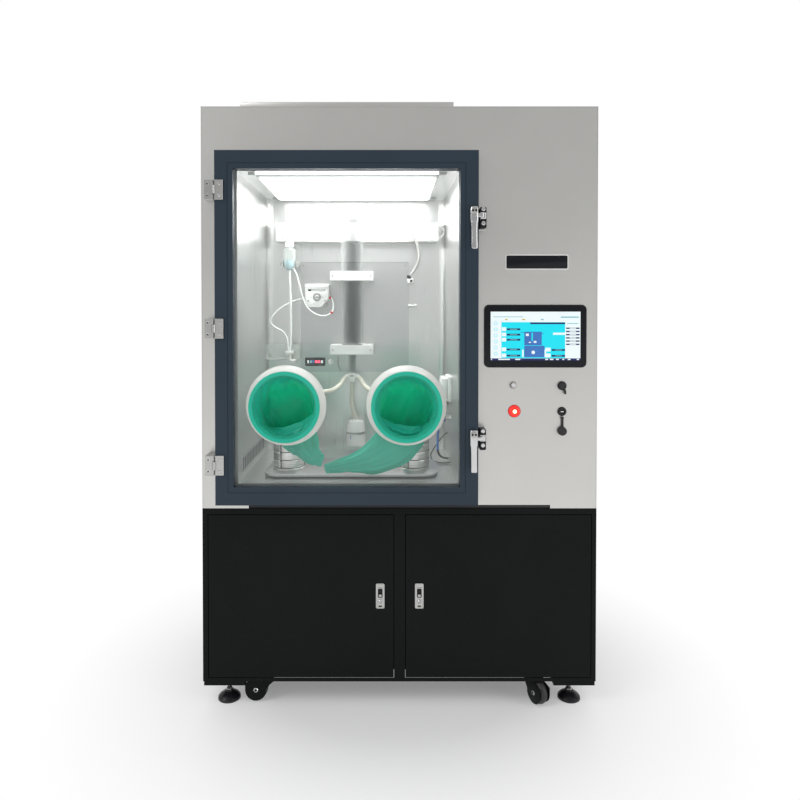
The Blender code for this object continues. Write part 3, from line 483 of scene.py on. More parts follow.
def tube_holder():
    """The clear holder on the rear wall, with the elbow that both thin tubes run to."""
    (x0, x1), (z0, z1) = HOLDER_X, HOLDER_Z
    y = FRONT + 0.452
    sheet = plate(rounded(x0 + 0.003, x1, z0, z1, 0.004), y, y + 0.004,
                  [circle(x0 + 0.02, z0 + 0.016, 0.007, 24)], 0.0005)
    shelf = block((x0 + 0.003, y + 0.0045, z0), (x1, WALL - 0.0005, z0 + 0.004), 0.0006)
    block_x = NEBULISER_AT.x
    clamp = block((block_x - 0.014, y - 0.024, z0 + 0.02), (block_x + 0.014, y - 0.0003, z0 + 0.034),
                  0.002)
    elbow = rod([(block_x, y - 0.012, z0 + 0.022), (block_x, y - 0.012, z0 + 0.004),
                 (block_x + 0.006, y - 0.012, z0 - 0.003), (block_x + 0.022, y - 0.012, z0 - 0.003)],
                0.0062)
    parts = [(sheet, "acrylic"), (shelf, "acrylic"), (clamp, "white"), (elbow, "white"),
             (screw((block_x + 0.01, y - 0.0242, z0 + 0.027), 0.0022), "chrome"),
             (screw((block_x - 0.01, y - 0.0242, z0 + 0.027), 0.0022), "chrome")]
    return piece("tube_holder", parts, "cabinet")


def hose_connector():
    """The oval manifold under the cylinder, with a bib and three spigots."""
    x, y, z = CONNECTOR_AT
    body = turned([(0, -0.006), (0.014, -0.006), (0.0175, -0.003), (0.0175, 0.004), (0.0145, 0.0075),
                   (0.008, 0.0075), (0.008, 0.012), (0, 0.012)], (x, y, z))
    bmesh.ops.scale(body, verts=body.verts, vec=(1.0, 0.75, 1.0), space=Matrix.Translation((-x, -y, -z)))
    bib = plate([(x - 0.013, z + 0.002), (x - 0.011, z - 0.012), (x, z - 0.021), (x + 0.011, z - 0.012),
                 (x + 0.013, z + 0.002)], y - 0.0135, y - 0.009, bevel=0.001)
    lens = turned([(0, 0.0015), (0.006, 0.001), (0.0075, 0.0), (0, 0.0)], (x, y - 0.0128, z + 0.001), OUT,
                  32)
    bmesh.ops.scale(lens, verts=lens.verts, vec=(1.3, 1.0, 0.6), space=Matrix.Translation((-x, -y, -z)))
    parts = [(body, "white"), (bib, "white"), (lens, "grey_hose")]
    for side in (-1, 1):
        parts.append((turned([(0, 0), (0.0088, 0), (0.0082, 0.004), (0.0092, 0.005), (0.0088, 0.013),
                              (0, 0.013)], (x + side * 0.011, y, z - 0.001), (side, -0.25, -0.2), 32),
                      "white"))
    return piece("hose_connector", parts, "cabinet")


def wall_elbow():
    """The white bulkhead elbow that the grey hose plugs into, and the tap under it."""
    x, y, z = ELBOW_AT
    body = block((x - 0.011, y - 0.012, z - 0.013), (x + 0.011, WALL - 0.0004, z + 0.006), 0.003, 3)
    collar = turned([(0, 0), (0.0085, 0), (0.0085, 0.006), (0.0068, 0.009), (0.0068, 0.014), (0, 0.014)],
                    (x - 0.003, y - 0.004, z + 0.004), (-0.25, -0.1, 1), 32)
    plug = turned([(0, 0), (0.0045, 0), (0.0045, 0.004), (0.003, 0.005), (0, 0.005)],
                  (x + 0.002, y - 0.0115, z - 0.004), OUT, 24)
    fitting_z = z - 0.095
    parts = [(body, "white"), (collar, "black"), (plug, "black")]
    for start, reach, radius in ((0.0, 0.01, 0.0055), (0.01, 0.022, 0.0038), (0.022, 0.032, 0.0062)):
        parts.append((turned([(0, start), (radius, start), (radius, reach - 0.001),
                              (radius - 0.001, reach), (0, reach)], (x - 0.008, y, fitting_z), (1, 0, 0),
                             32), "cast"))
    parts.append((turned([(0, 0), (0.004, 0), (0.004, 0.024), (0, 0.024)], (x + 0.01, y, fitting_z),
                         (0, 1, 0), 24), "cast"))
    return piece("wall_elbow", parts, "cabinet")


def red_collars(points):
    """The coloured stops that hold the pump's tubing in its head."""
    parts = []
    for at, facing in points:
        parts.append((turned([(0, -0.004), (0.004, -0.004), (0.0046, -0.002), (0.0046, 0.002),
                              (0.004, 0.004), (0, 0.004)], at, facing, 24), "red"))
    return piece("tube_stops", parts, "cabinet")


def hoses():
    """Every hose and cable; these are built before the rest of the model."""
    bottle, holder = nebuliser(), tube_holder()
    manifold, elbow = hose_connector(), wall_elbow()
    at = in_chamber
    loop = [at(-0.249, 0.452, 1.2382), at(-0.24, 0.45, 1.234), at(-0.232, 0.442, 1.208),
            at(-0.2385, 0.433, 1.182), at(-0.266, 0.426, 1.17), at(-0.298, 0.422, 1.179),
            at(-0.3252, 0.421, 1.2023), at(-0.342, 0.422, 1.24), at(-0.352, 0.426, 1.28),
            at(-0.364, 0.43, 1.32), at(-0.3765, 0.436, 1.342)]
    stops = red_collars([(loop[0] + Vector((0.004, -0.001, -0.002)), (1, -0.1, -0.4)),
                         (at(-0.2385, 0.433, 1.182), (-0.6, -0.4, -1))])
    hose("pump_tube_right", loop, 0.0055, "silicone")
    neb = NEBULISER_AT
    hose("feed_tube", [neb + Vector((0, 0, -0.05)), neb + Vector((0.0005, 0, -0.075)),
                       neb + Vector((0.0035, 0, -0.14)), neb + Vector((0.0045, 0, -0.21)),
                       neb + Vector((0.004, 0, -0.275)), neb + Vector((0.0025, 0, -0.32)),
                       Vector((neb.x, neb.y, HOLDER_Z[0] + 0.032))], 0.0085, "silicone")
    hose("pump_tube_left", [at(-0.333, 0.452, 1.2355), at(-0.348, 0.448, 1.233), at(-0.376, 0.443, 1.224),
                            at(-0.4057, 0.438, 1.2096), at(-0.435, 0.436, 1.188),
                            at(-0.457, 0.434, 1.162), at(-0.456, 0.434, 1.142), at(-0.438, 0.434, 1.127),
                            at(-0.416, 0.434, 1.115), at(-0.402, 0.434, 1.095), at(-0.3965, 0.433, 1.07),
                            at(-0.3935, 0.43, 1.048)], 0.0055, "silicone")
    hose("lamp_cable_left", [at(-0.35, 0.5035, 1.56), at(-0.354, 0.48, 1.557), at(-0.365, 0.458, 1.54),
                             at(-0.379, 0.447, 1.512), at(-0.389, 0.443, 1.48),
                             at(-0.3905, 0.441, 1.449)], 0.0085, "silicone")
    hose("air_hose", [at(0.0, 0.5035, 1.558), at(0.006, 0.48, 1.553), at(0.0206, 0.46, 1.53),
                      at(0.04, 0.454, 1.498), at(0.056, 0.453, 1.466), at(0.071, 0.453, 1.433),
                      at(0.0785, 0.454, 1.401), at(0.0765, 0.457, 1.372), at(0.066, 0.463, 1.343),
                      at(0.048, 0.471, 1.318), at(0.0445, 0.473, 1.313)], 0.01, "grey_hose")
    x, y, z = CONNECTOR_AT
    left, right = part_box("sampler_left"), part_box("sampler_right")
    for side, (low, high) in ((-1, left), (1, right)):
        inlet = Vector(((low.x + high.x) / 2, (low.y + high.y) / 2, high.z - 0.002))
        reach = inlet.x - x
        hose(f"sample_hose_{'left' if side < 0 else 'right'}",
             [Vector((x + side * 0.020, y - 0.003, z - 0.004)),
              Vector((x + side * 0.029, y - 0.008, z - 0.010)),
              Vector((x + side * 0.040, y - 0.022, z - 0.026)),
              Vector((x + side * 0.056, y - 0.044, z - 0.040)),
              Vector((x + side * 0.082, y - 0.075, z - 0.047)),
              Vector((x + reach * 0.68, y - 0.155, z - 0.040)),
              Vector((x + reach * 0.88, inlet.y + 0.050, z - 0.020)),
              Vector((inlet.x - side * 0.008, inlet.y + 0.014, inlet.z + 0.014)),
              Vector((inlet.x - side * 0.001, inlet.y + 0.002, inlet.z + 0.010)),
              inlet],
             0.0155, "cream")
    hose("trap_hose", [Vector((x, y, z - 0.005)), Vector((x - 0.001, y + 0.003, z - 0.03)),
                       Vector((x - 0.003, y + 0.014, z - 0.065)), Vector((x - 0.004, y + 0.028, z - 0.1)),
                       Vector((x + 0.001, y + 0.038, z - 0.132)), TRAP_TOP + Vector((0, 0, 0.01)),
                       TRAP_TOP + Vector((0, 0, -0.002))], 0.0155, "cream")
    wall = CHAMBER_HIGH.x - 0.0015
    hose("supply_hose", [at(0.15, 0.25, 0.825), at(0.143, 0.256, 0.815), at(0.1375, 0.27, 0.792),
                         at(0.1355, 0.285, 0.765), at(0.1355, 0.295, 0.738), at(0.136, 0.3, 0.713)],
         0.008, "blue_hose")
    hose("supply_tail", [at(0.136, 0.3, 0.7135), at(0.138, 0.302, 0.703), at(0.144, 0.306, 0.692),
                         at(0.154, 0.31, 0.684), at(0.166, 0.314, 0.68),
                         Vector((wall - 0.002, FRONT + 0.318, 0.679))], 0.007, "rubber")
    hose("probe_cable", [Vector((wall - 0.001, FRONT + 0.36, 0.76)), at(0.164, 0.352, 0.756),
                         at(0.142, 0.34, 0.733), at(0.123, 0.328, 0.708), at(0.113, 0.31, 0.691),
                         at(0.118, 0.288, 0.679), at(0.136, 0.272, 0.6752), at(0.158, 0.264, 0.6752),
                         Vector((wall - 0.001, FRONT + 0.262, 0.677))], 0.004, "rubber")
    hose("batten_cable", [at(0.118, 0.462, 1.503), at(0.13, 0.456, 1.505), at(0.15, 0.453, 1.499),
                          at(0.166, 0.452, 1.485), at(0.169, 0.452, 1.472), at(0.16, 0.453, 1.458),
                          at(0.14, 0.456, 1.449), at(0.118, 0.462, 1.448)], 0.0032, "white")


hoses()


# ---- base ---------------------------------------------------------------------------------
def base_details():
    """Finish of the base, the spacer strip above it and the plates over the casters."""
    dress("base", "base_casing", "base_floor", "base_door_left", "base_door_right")
    strip = block((-0.45, FRONT + 0.0025, BASE_TOP + 0.0003), (0.45, FRONT + 0.024, BASE_TOP + 0.0102),
                  0.001)
    piece("spacer_strip", [(strip, "rubber")], "cabinet")
    for end, inward in (("front", 1), ("rear", -1)):
        for side in ("left", "right"):
            corner = f"{end}_{side}"
            fork_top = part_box(f"caster_fork_{corner}")[1].z
            centre = joint_at(f"{corner}_caster_swivel")[0]
            ring = turned([(0.0184, -0.0062), (0.0202, -0.0062), (0.021, -0.0045), (0.021, -0.0012),
                           (0.0184, -0.0012)], (centre.x, centre.y, fork_top), segments=40, ring=True)
            y0, y1 = sorted((centre.y - inward * 0.0208, centre.y + inward * 0.048))
            cover = plate(rounded(centre.x - 0.036, centre.x + 0.036, y0, y1, 0.006, 4),
                          fork_top - 0.0032, fork_top - 0.0002, [circle(centre.x, centre.y, 0.0186, 40)])
            stand_up(cover)
            parts = [(ring, "hub"), (cover, "hub")]
            for dx in (-0.029, 0.029):
                for dy in (-0.012, 0.039):
                    at = (centre.x + dx, centre.y + inward * dy, fork_top - 0.0032)
                    parts.append((screw(at, 0.005, DOWN), "cast"))
            piece(f"caster_plate_{corner}", parts, "cabinet")


def stand_up(shape):
    """Turns an XZ plate, made with its Z values as Y and its depth as Z, so that it lies flat."""
    for vert in shape.verts:
        vert.co = (vert.co.x, vert.co.z, vert.co.y)


def joint_at(name):
    """A joint's place and axis at rest."""
    joint = next(row for row in frame["joints"] if row["name"] == name)
    return Vector(joint["pos_m"]), Vector(joint["axis"]).normalized()


def levelling_feet():
    """Domed pads on a rubber shoe, a bright stem with its thread, and a hexagonal nut."""
    for end in ("front", "rear"):
        for side in ("left", "right"):
            name = f"levelling_foot_{end}_{side}"
            low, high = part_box(name)
            at = ((low.x + high.x) / 2, (low.y + high.y) / 2, 0)
            radius, top = (high.x - low.x) / 2, high.z
            shoe = turned([(0, 0), (radius - 0.002, 0), (radius, 0.0015), (radius, 0.005),
                           (radius - 0.0012, 0.0062), (0, 0.0062)], at)
            dome = turned([(0, 0.006), (radius - 0.0008, 0.006), (radius - 0.0006, 0.0085),
                           (radius * 0.86, 0.0135), (radius * 0.62, 0.0195), (radius * 0.44, 0.0235),
                           (0.0125, 0.0262), (0.0118, 0.029), (0, 0.029)], at)
            profile = [(0, 0.0285)]
            turns = 12
            for step in range(turns):
                z = 0.029 + (top - 0.04) * step / turns
                pitch = (top - 0.04) / turns
                profile += [(0.0054, z), (0.0062, z + pitch / 2)]
            profile += [(0.0054, top - 0.011), (0, top - 0.011)]
            stem = turned(profile, at, segments=32)
            nut = turned([(0, top - 0.0112), (0.0105, top - 0.0112), (0.0118, top - 0.01),
                          (0.0118, top - 0.0015), (0.0105, top - 0.0003), (0, top - 0.0003)], at,
                         segments=6)
            ball = turned([(0.01, 0.0262), (0.0107, 0.03), (0.008, 0.0345), (0.0056, 0.036),
                           (0.005, 0.0262)], at, segments=32, ring=True)
            parts = [(shoe, "rubber"), (dome, "black"), (stem, "chrome"), (nut, "cast"), (ball, "cast")]
            piece(f"foot_{end}_{side}", parts, "cabinet", [name])


# the fork's side seen along the axle, from the axle's centre: a guard that covers the wheel
CHEEK = [(-0.0305, 0.0005)] + [(0.0325 * math.cos(math.radians(turn)),
        0.0325 * math.sin(math.radians(turn))) for turn in range(200, 361, 16)] + [(0.0325, 0.0215),
        (0.027, 0.0235), (0.002, 0.03), (0.0, 0.043), (-0.056, 0.043), (-0.056, 0.034)]


def casters():
    """Wheels with a rounded tyre and a stepped hub; hexagonal bolts through the forks, and guard cheeks
    beside the wheels.
    """
    low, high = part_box("caster_wheel_front_left")
    half, radius = (high.y - low.y) / 2, (high.z - low.z) / 2
    low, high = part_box("caster_fork_front_left")
    outer = (high.y - low.y) / 2
    for end in ("front", "rear"):
        for side in ("left", "right"):
            corner = f"{end}_{side}"
            dress("base", f"caster_fork_{corner}")
            centre, facing = joint_at(f"{corner}_caster_roll")
            tyre = [(0.0225, -half + 0.0006)]
            for step in range(13):
                angle = math.pi * (step / 12 - 0.5)
                tyre.append((radius - 0.009 + 0.009 * math.cos(angle), (half - 0.0004) * math.sin(angle)))
            tyre.append((0.0225, half - 0.0006))
            hub = [(0.0048, -half + 0.002), (0.012, -half + 0.0002), (0.014, -half + 0.0002),
                   (0.0165, -half + 0.0035), (0.0205, -half + 0.0035), (0.0228, -half + 0.0012),
                   (0.0228, half - 0.0012), (0.0205, half - 0.0035), (0.0165, half - 0.0035),
                   (0.014, half - 0.0002), (0.012, half - 0.0002), (0.0048, half - 0.002)]
            parts = [(turned(tyre, centre, facing, 64, True), "tyre"),
                     (turned(hub, centre, facing, 64, True), "hub")]
            piece(f"wheel_{corner}", parts, f"{corner}_caster_wheel",
                  [f"caster_wheel_{corner}"])
            bolts = []
            start = outer - 0.0045
            for sign in (-1, 1):
                bolts.append((turned([(0, start), (0.0075, start), (0.0075, outer - 0.0012),
                                      (0.0062, outer - 0.0002), (0.003, outer - 0.0002),
                                      (0.0028, outer - 0.001), (0, outer - 0.001)], centre, facing * sign,
                                     6), "chrome"))
            trail = Vector((-facing.y, facing.x, 0))
            for sign in (-1, 1):
                y0, y1 = sorted((sign * (outer - 0.0031), sign * (outer - 0.0016)))
                cheek = plate(CHEEK, y0, y1, bevel=0.0004)
                for vert in cheek.verts:
                    vert.co = centre + trail * vert.co.x + facing * vert.co.y + Vector(UP) * vert.co.z
                bmesh.ops.recalc_face_normals(cheek, faces=cheek.faces)
                bolts.append((cheek, "base"))
            piece(f"axle_bolts_{corner}", bolts, f"{corner}_caster_fork")


def base_locks():
    """Flush push locks: bright plate, a pocket painted dark for its shade, finger tab, key cylinder and
    its button.
    """
    for side in ("left", "right"):
        low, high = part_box(f"lock_plate_{side}")
        x, z = (low.x + high.x) / 2, (low.z + high.z) / 2
        body = f"{side}_base_door"
        button_low, button_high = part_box(f"lock_button_{side}")
        button = (button_low + button_high) / 2
        radius = (button_high.x - button_low.x) / 2
        face, rear = low.y, FRONT - 0.0003
        half_x, half_z = (high.x - low.x) / 2, (high.z - low.z) / 2
        pocket = rounded(x - 0.0068, x + 0.0068, z - 0.005, z + 0.022, 0.003, 4)
        bore = circle(x, button.z, radius + 0.0005, 32)
        bezel = plate(rounded(x - half_x, x + half_x, z - half_z, z + half_z, 0.0045), face, rear,
                      [pocket, bore], 0.0007)
        # the dark sheet at the back of the pocket and the dark case behind it are painted shade of the
        # recess
        painted_shade_well = plate(pocket, FRONT + 0.003, FRONT + 0.0045)
        case = plate(rounded(x - half_x + 0.0032, x + half_x - 0.0032, z - half_z + 0.0082,
                             z + half_z - 0.0082, 0.002, 3), FRONT - 0.0002, high.y,
                     [rounded(x - 0.0066, x + 0.0066, z - 0.0048, z + 0.0218, 0.0028, 4),
                      circle(x, button.z, radius + 0.0007, 32)])
        collar = turned([(radius + 0.0005, -0.0004), (radius + 0.0022, -0.0004),
                         (radius + 0.0018, 0.0012), (radius + 0.0008, 0.0012)], (x, face, button.z), OUT,
                        40, True)
        tab = block((x - 0.005, face - 0.0006, z - 0.033), (x + 0.005, face + 0.0008, z - 0.0285), 0.0006)
        line = block((x - half_x + 0.004, face - 0.0002, z + 0.025),
                     (x + half_x - 0.004, face + 0.0006, z + 0.0256))
        latch_bar = block((x - 0.0045, FRONT - 0.0012, z - 0.0046),
                          (x + 0.0045, FRONT + 0.003, z + 0.004), 0.0012)
        piece(f"lock_face_{side}", [(bezel, "cast"), (painted_shade_well, "dark"), (case, "dark"), (collar, "chrome"),
                (tab, "dark"), (line, "dark"), (latch_bar, "cast")], body,
              [f"lock_plate_{side}"])
        y0 = button_low.y
        barrel = turned([(0, button_high.y - y0), (radius - 0.0002, button_high.y - y0),
                         (radius - 0.0002, 0.0008), (radius - 0.001, 0.0), (0.0012, 0.0), (0.001, 0.0006),
                         (0, 0.0006)], (x, y0, button.z), (0, 1, 0), 40)
        # the key slot is a dark block: painted shade in the keyway
        key = block((x - 0.0006, y0 - 0.0001, button.z - 0.003),
                    (x + 0.0006, y0 + 0.0004, button.z + 0.003))
        piece(f"lock_barrel_{side}", [(barrel, "chrome"), (key, "dark")], f"{side}_lock_button",
              [f"lock_button_{side}"])


base_details()
levelling_feet()
casters()
base_locks()
dress("pump_blue", "vacuum_pump")


# ---- upper cabinet ------------------------------------------------------------------------
def cabinet_shell():
    """Steel wrap, a rear panel with cooling slots and screws, and the bolted roof cover."""
    dress("steel", "upper_casing", "upper_front_panel")
    low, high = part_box("upper_back_panel")
    slots = []
    for column in (-0.3, 0.0, 0.3):
        for row in range(9):
            z = 1.545 + row * 0.017
            slots.append(rounded(column - 0.085, column + 0.085, z - 0.0028, z + 0.0028, 0.0027, 4))
    back = plate([(low.x, low.z), (high.x, low.z), (high.x, high.z), (low.x, high.z)], low.y, high.y,
                 slots)
    # a dark sheet inside the cabinet behind the cooling slots: painted shade seen through them
    shade = block((low.x + 0.15, low.y - 0.0016, 1.52), (high.x - 0.15, low.y - 0.0008, 1.71))
    parts = [(back, "steel"), (shade, "dark")]
    columns = [low.x + 0.018 + (high.x - low.x - 0.036) * step / 5 for step in range(6)]
    rows = [low.z + 0.018 + (high.z - low.z - 0.036) * step / 5 for step in range(6)]
    places = [(x, z) for x in columns for z in (rows[0], rows[-1])]
    places += [(x, z) for x in (columns[0], columns[-1]) for z in rows[1:-1]]
    for x, z in places:
        parts.append((turned([(0, -0.001), (0.0042, -0.001), (0.0042, -0.0002), (0.002, 0.0),
                              (0.0018, -0.0006), (0, -0.0006)], (x, high.y, z), (0, 1, 0), 24), "cast"))
    piece("back_panel", parts, "cabinet", ["upper_back_panel"])

    low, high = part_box("roof_cover")
    sheet = high.z - 0.0045
    cover = block(low, (high.x, high.y, sheet), 0.0015)
    parts = [(cover, "steel")]
    bolt = [(0, 0), (0.0062, 0), (0.0062, 0.003), (0.005, 0.0042), (0.0026, 0.0045), (0.0024, 0.0034),
            (0, 0.0034)]
    places = [(x, y) for x in (low.x + 0.061, low.x + 0.322, low.x + 0.581)
              for y in (low.y + 0.018, high.y - 0.018)]
    places += [(x, low.y + 0.018 + (high.y - low.y - 0.036) * step / 4)
               for x in (low.x + 0.018, high.x - 0.018) for step in range(1, 4)]
    for x, y in places:
        parts.append((turned(bolt, (x, y, sheet - 0.0002), UP, 24), "cast"))
    piece("roof_plate", parts, "cabinet", ["roof_cover"])
    eyes = []
    for y in (FRONT + 0.03, BACK - 0.03):
        eyes.append((turned([(0, 0), (0.0085, 0), (0.0085, 0.0015), (0.006, 0.0016), (0.006, 0.0055),
                             (0.0045, 0.0068), (0, 0.0068)], (0.379, y, BODY_TOP), UP, 32), "cast"))
    piece("roof_bolts", eyes, "cabinet")
    x0, x1, z0, z1 = 0.315, 0.503, 1.311, 1.356
    rim = plate(rounded(x0, x1, z0, z1, 0.006), FRONT - 0.0016, FRONT - 0.0002, bevel=0.0004)
    face = plate(rounded(x0 + 0.003, x1 - 0.003, z0 + 0.003, z1 - 0.003, 0.004), FRONT - 0.0024,
                 FRONT - 0.0014, bevel=0.0003)
    piece("name_plate", [(rim, "white"), (face, "gloss")], "cabinet")


def touchscreen():
    """A glass-fronted panel computer; its page is drawn with plain generic shapes."""
    low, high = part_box("touchscreen")
    corner = 0.015
    face = low.y
    frame_y = FRONT - 0.0003
    outline = rounded(low.x, high.x, low.z, high.z, corner, 12)
    bezel = plate(outline, face + 0.0006, frame_y, bevel=0.0012)
    glass = plate(rounded(low.x + 0.003, high.x - 0.003, low.z + 0.003, high.z - 0.003, corner - 0.003,
                          12), face + 0.0002, face + 0.0008)
    housing = block((low.x + 0.023, FRONT, low.z + 0.023), (high.x - 0.023, high.y, high.z - 0.023),
                    0.003)
    parts = [(bezel, "black"), (glass, "gloss"), (housing, "cast")]
    left, right = low.x + 0.019, high.x - 0.019
    bottom, top = low.z + 0.0215, high.z - 0.0205
    width, height = right - left, top - bottom

    def patch(x0, x1, y0, y1, coat, layer=1):
        """A patch of the page; x runs right and y down, both from 0 to 1."""
        front = face + 0.0001 - 0.00012 * layer
        parts.append((block((left + x0 * width, front, top - y1 * height),
                            (left + x1 * width, front + 0.0002, top - y0 * height)), coat))

    patch(0.0, 1.0, 0.0, 1.0, "page", 0)
    patch(0.12, 0.83, 0.215, 0.955, "cyan")
    patch(0.44, 0.83, 0.222, 0.256, "navy", 2)
    for x0, x1, coat in ((0.16, 0.19, "amber"), (0.35, 0.385, "amber"), (0.56, 0.59, "mint"),
                         (0.78, 0.98, "mint")):
        patch(x0, x1, 0.15 if x1 < 0.7 else 0.1, 0.175 if x1 < 0.7 else 0.125, coat)
    patch(0.03, 0.36, 0.1, 0.112, "mint")
    for row in range(6):
        z = top - (0.24 + 0.124 * row) * height
        ring = turned([(0.004, 0), (0.0052, 0), (0.0052, 0.0003), (0.004, 0.0003)],
                      (left + 0.057 * width, face, z), OUT, 32, True)
        parts.append((ring, "cyan"))
    for y in (0.36, 0.47, 0.575, 0.775, 0.9):
        patch(0.125, 0.172, y - 0.04, y + 0.035, "page", 2)
        patch(0.18, 0.33, y - 0.018, y + 0.02, "navy", 2)
        patch(0.215, 0.295, y - 0.006, y + 0.008, "mint", 3)
    for y in (0.785, 0.905):
        patch(0.61, 0.668, y - 0.045, y + 0.03, "page", 2)
        patch(0.68, 0.83, y - 0.018, y + 0.02, "navy", 2)
        patch(0.72, 0.795, y - 0.006, y + 0.008, "mint", 3)
    patch(0.695, 0.83, 0.43, 0.475, "page", 2)
    patch(0.375, 0.57, 0.41, 0.69, "sky", 2)
    patch(0.375, 0.6, 0.7, 0.935, "sky", 2)
    patch(0.392, 0.425, 0.45, 0.5, "page", 3)
    patch(0.455, 0.47, 0.43, 0.6, "cyan", 3)
    patch(0.425, 0.45, 0.62, 0.64, "page", 3)
    patch(0.48, 0.51, 0.6, 0.64, "page", 3)
    patch(0.335, 0.375, 0.42, 0.432, "sky", 2)
    patch(0.57, 0.59, 0.445, 0.457, "sky", 2)
    hub_x, hub_z = left + 0.475 * width, top - 0.835 * height
    parts.append((turned([(0, 0), (0.0052, 0), (0.0052, 0.0006), (0, 0.0006)], (hub_x, face, hub_z), OUT,
                         32), "page"))
    for x in (0.36, 0.61):
        patch(x - 0.008, x + 0.008, 0.78, 0.93, "page", 3)
    for row in range(6):
        y = 0.34 + 0.066 * row
        patch(0.84, 0.99, y - 0.014, y + 0.014, "navy", 2)
        patch(0.88, 0.95, y - 0.008, y + 0.008, "page", 3)
    patch(0.85, 0.975, 0.235, 0.25, "mint", 2)
    patch(0.0, 1.0, 0.958, 1.0, "navy")
    for x0, x1 in ((0.004, 0.016), (0.085, 0.215), (0.275, 0.33), (0.61, 0.64), (0.66, 0.7), (0.73, 0.76),
                   (0.8, 0.82), (0.86, 0.89), (0.96, 0.985)):
        patch(x0, x1, 0.967, 0.991, "page", 2)
    piece("panel_computer", parts, "cabinet", ["touchscreen"])


def buttons():
    """Each button's cap and fixed ring; the stop button is lit from inside."""
    low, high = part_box("push_button")
    centre, radius, face = (low + high) / 2, (high.x - low.x) / 2, low.y
    at = (centre.x, face, centre.z)
    cap = turned([(0, 0.0004), (radius * 0.55, 0.0004), (radius * 0.62, 0.0), (radius - 0.0015, 0.0),
                  (radius - 0.0003, 0.0012), (radius - 0.0003, high.y - face), (0, high.y - face)], at,
                 (0, 1, 0), 48)
    piece("push_cap", [(cap, "chrome")], "push_button", ["push_button"])
    ring = turned([(radius + 0.0004, 0), (radius + 0.0034, 0), (radius + 0.0034, 0.0012),
                   (radius + 0.0024, 0.0024), (radius + 0.0004, 0.0024)], (centre.x, FRONT, centre.z),
                  OUT, 48, True)
    low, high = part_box("stop_button")
    middle_at, wide, front = (low + high) / 2, (high.x - low.x) / 2, low.y
    dome = [(0, 0.0)]
    for step in range(1, 9):
        angle = math.pi / 2 * step / 8
        dome.append(((wide - 0.0004) * math.sin(angle), 0.005 * (1 - math.cos(angle))))
    lens = turned([*dome, (wide - 0.0004, high.y - front), (0, high.y - front)],
                  (middle_at.x, front, middle_at.z), (0, 1, 0), 64)
    core = turned([(0, 0.0012), (0.0045, 0.001), (0.0062, 0.0), (0, 0.0)],
                  (middle_at.x, front + 0.0007, middle_at.z), OUT, 32)
    piece("stop_lens", [(lens, "red_glow"), (core, "hot_glow")], "stop_button",
          ["stop_button"])
    collar = turned([(wide + 0.0004, 0), (wide + 0.003, 0), (wide + 0.003, 0.0014), (wide + 0.002, 0.003),
                     (wide + 0.0004, 0.003)], (middle_at.x, FRONT, middle_at.z), OUT, 64, True)
    piece("button_rings", [(ring, "cast"), (collar, "red")], "cabinet")


def sockets():
    """Two round data sockets with knurled nuts; the lower one's cap hangs on its strap."""
    for name in ("data_socket_upper", "data_socket_lower"):
        low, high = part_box(name)
        centre, radius = (low + high) / 2, (high.x - low.x) / 2
        x, z = centre.x, centre.z
        flange = turned([(0.009, 0.0003), (radius, 0.0003), (radius, 0.0026), (radius - 0.0012, 0.0036),
                         (0.009, 0.0036)], (x, FRONT, z), OUT, 64, True)
        tail = turned([(0.0088, 0.0), (0.0099, 0.0), (0.0099, high.y - FRONT), (0.0088, high.y - FRONT)],
                      (x, FRONT, z), (0, 1, 0), 48, True)
        parts = [(flange, "black"), (tail, "black")]
        if name.endswith("upper"):
            cap = plate(circle(x, z, radius - 0.0018, 120, 20, 0.0009), low.y + 0.0012, FRONT - 0.0034,
                        bevel=0.0005)
            top = turned([(0, 0.0), (0.0085, 0.0), (0.0095, 0.0012), (0, 0.0012)], (x, low.y, z),
                         (0, 1, 0), 48)
            stub = rod([(x + 0.004, low.y + 0.004, z - 0.008), (x + 0.007, low.y + 0.003, z - 0.015),
                        (x + 0.008, low.y + 0.004, z - 0.024)], 0.0032)
            parts += [(cap, "rubber"), (top, "rubber"), (stub, "rubber")]
        else:
            nut = plate(circle(x, z, radius - 0.0018, 120, 20, 0.0009), low.y, FRONT - 0.0034,
                        [circle(x, z, 0.0078, 48)], 0.0005)
            # a dark disc at the bottom of the bore: painted shade inside the socket
            floor = turned([(0, 0.0), (0.0078, 0.0), (0.0078, 0.001), (0, 0.001)], (x, low.y + 0.0046, z),
                           (0, 1, 0), 48)
            tongue = block((x - 0.0045, low.y + 0.002, z - 0.0014),
                           (x + 0.0045, low.y + 0.005, z + 0.0014), 0.0004)
            parts += [(nut, "rubber"), (floor, "dark"), (tongue, "white")]
        piece(f"{name}_body", parts, "cabinet", [name])
    low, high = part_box("socket_cap")
    x, radius, face = (low.x + high.x) / 2, (high.x - low.x) / 2, low.y
    cap_z = low.z + radius
    rim = plate(circle(x, cap_z, radius - 0.0002, 120, 20, 0.0008), face + 0.001, face + 0.0094,
                bevel=0.0006)
    boss = turned([(0, 0), (0.008, 0), (0.0095, 0.0012), (0, 0.0012)], (x, face, cap_z), (0, 1, 0), 48)
    loops = []
    for share in (0, 0.12, 0.3, 0.5, 0.7, 0.88, 1):
        z = cap_z + 0.008 + (high.z - cap_z - 0.008) * share
        half = 0.0032 + 0.0022 * abs(2 * share - 1) ** 3
        sway = 0.0008 * math.sin(math.pi * share)
        loops.append([Vector((x + dx * half + sway, FRONT - 0.006 + dy, z)) for dx,
                      dy in ((-1, 0), (1, 0), (1, 0.0018), (-1, 0.0018))])
    piece("hanging_cap", [(rim, "rubber"), (boss, "rubber"), (loft(loops), "rubber")], "socket_cap",
          ["socket_cap"])


cabinet_shell()
touchscreen()
buttons()
sockets()


# ---- test chamber -------------------------------------------------------------------------
def flat_plate(outline, z0, z1, holes=(), bevel=0.0):
    """A plate that lies flat: the outline is in X and Y."""
    shape = plate(outline, z0, z1, holes, bevel)
    stand_up(shape)
    return shape


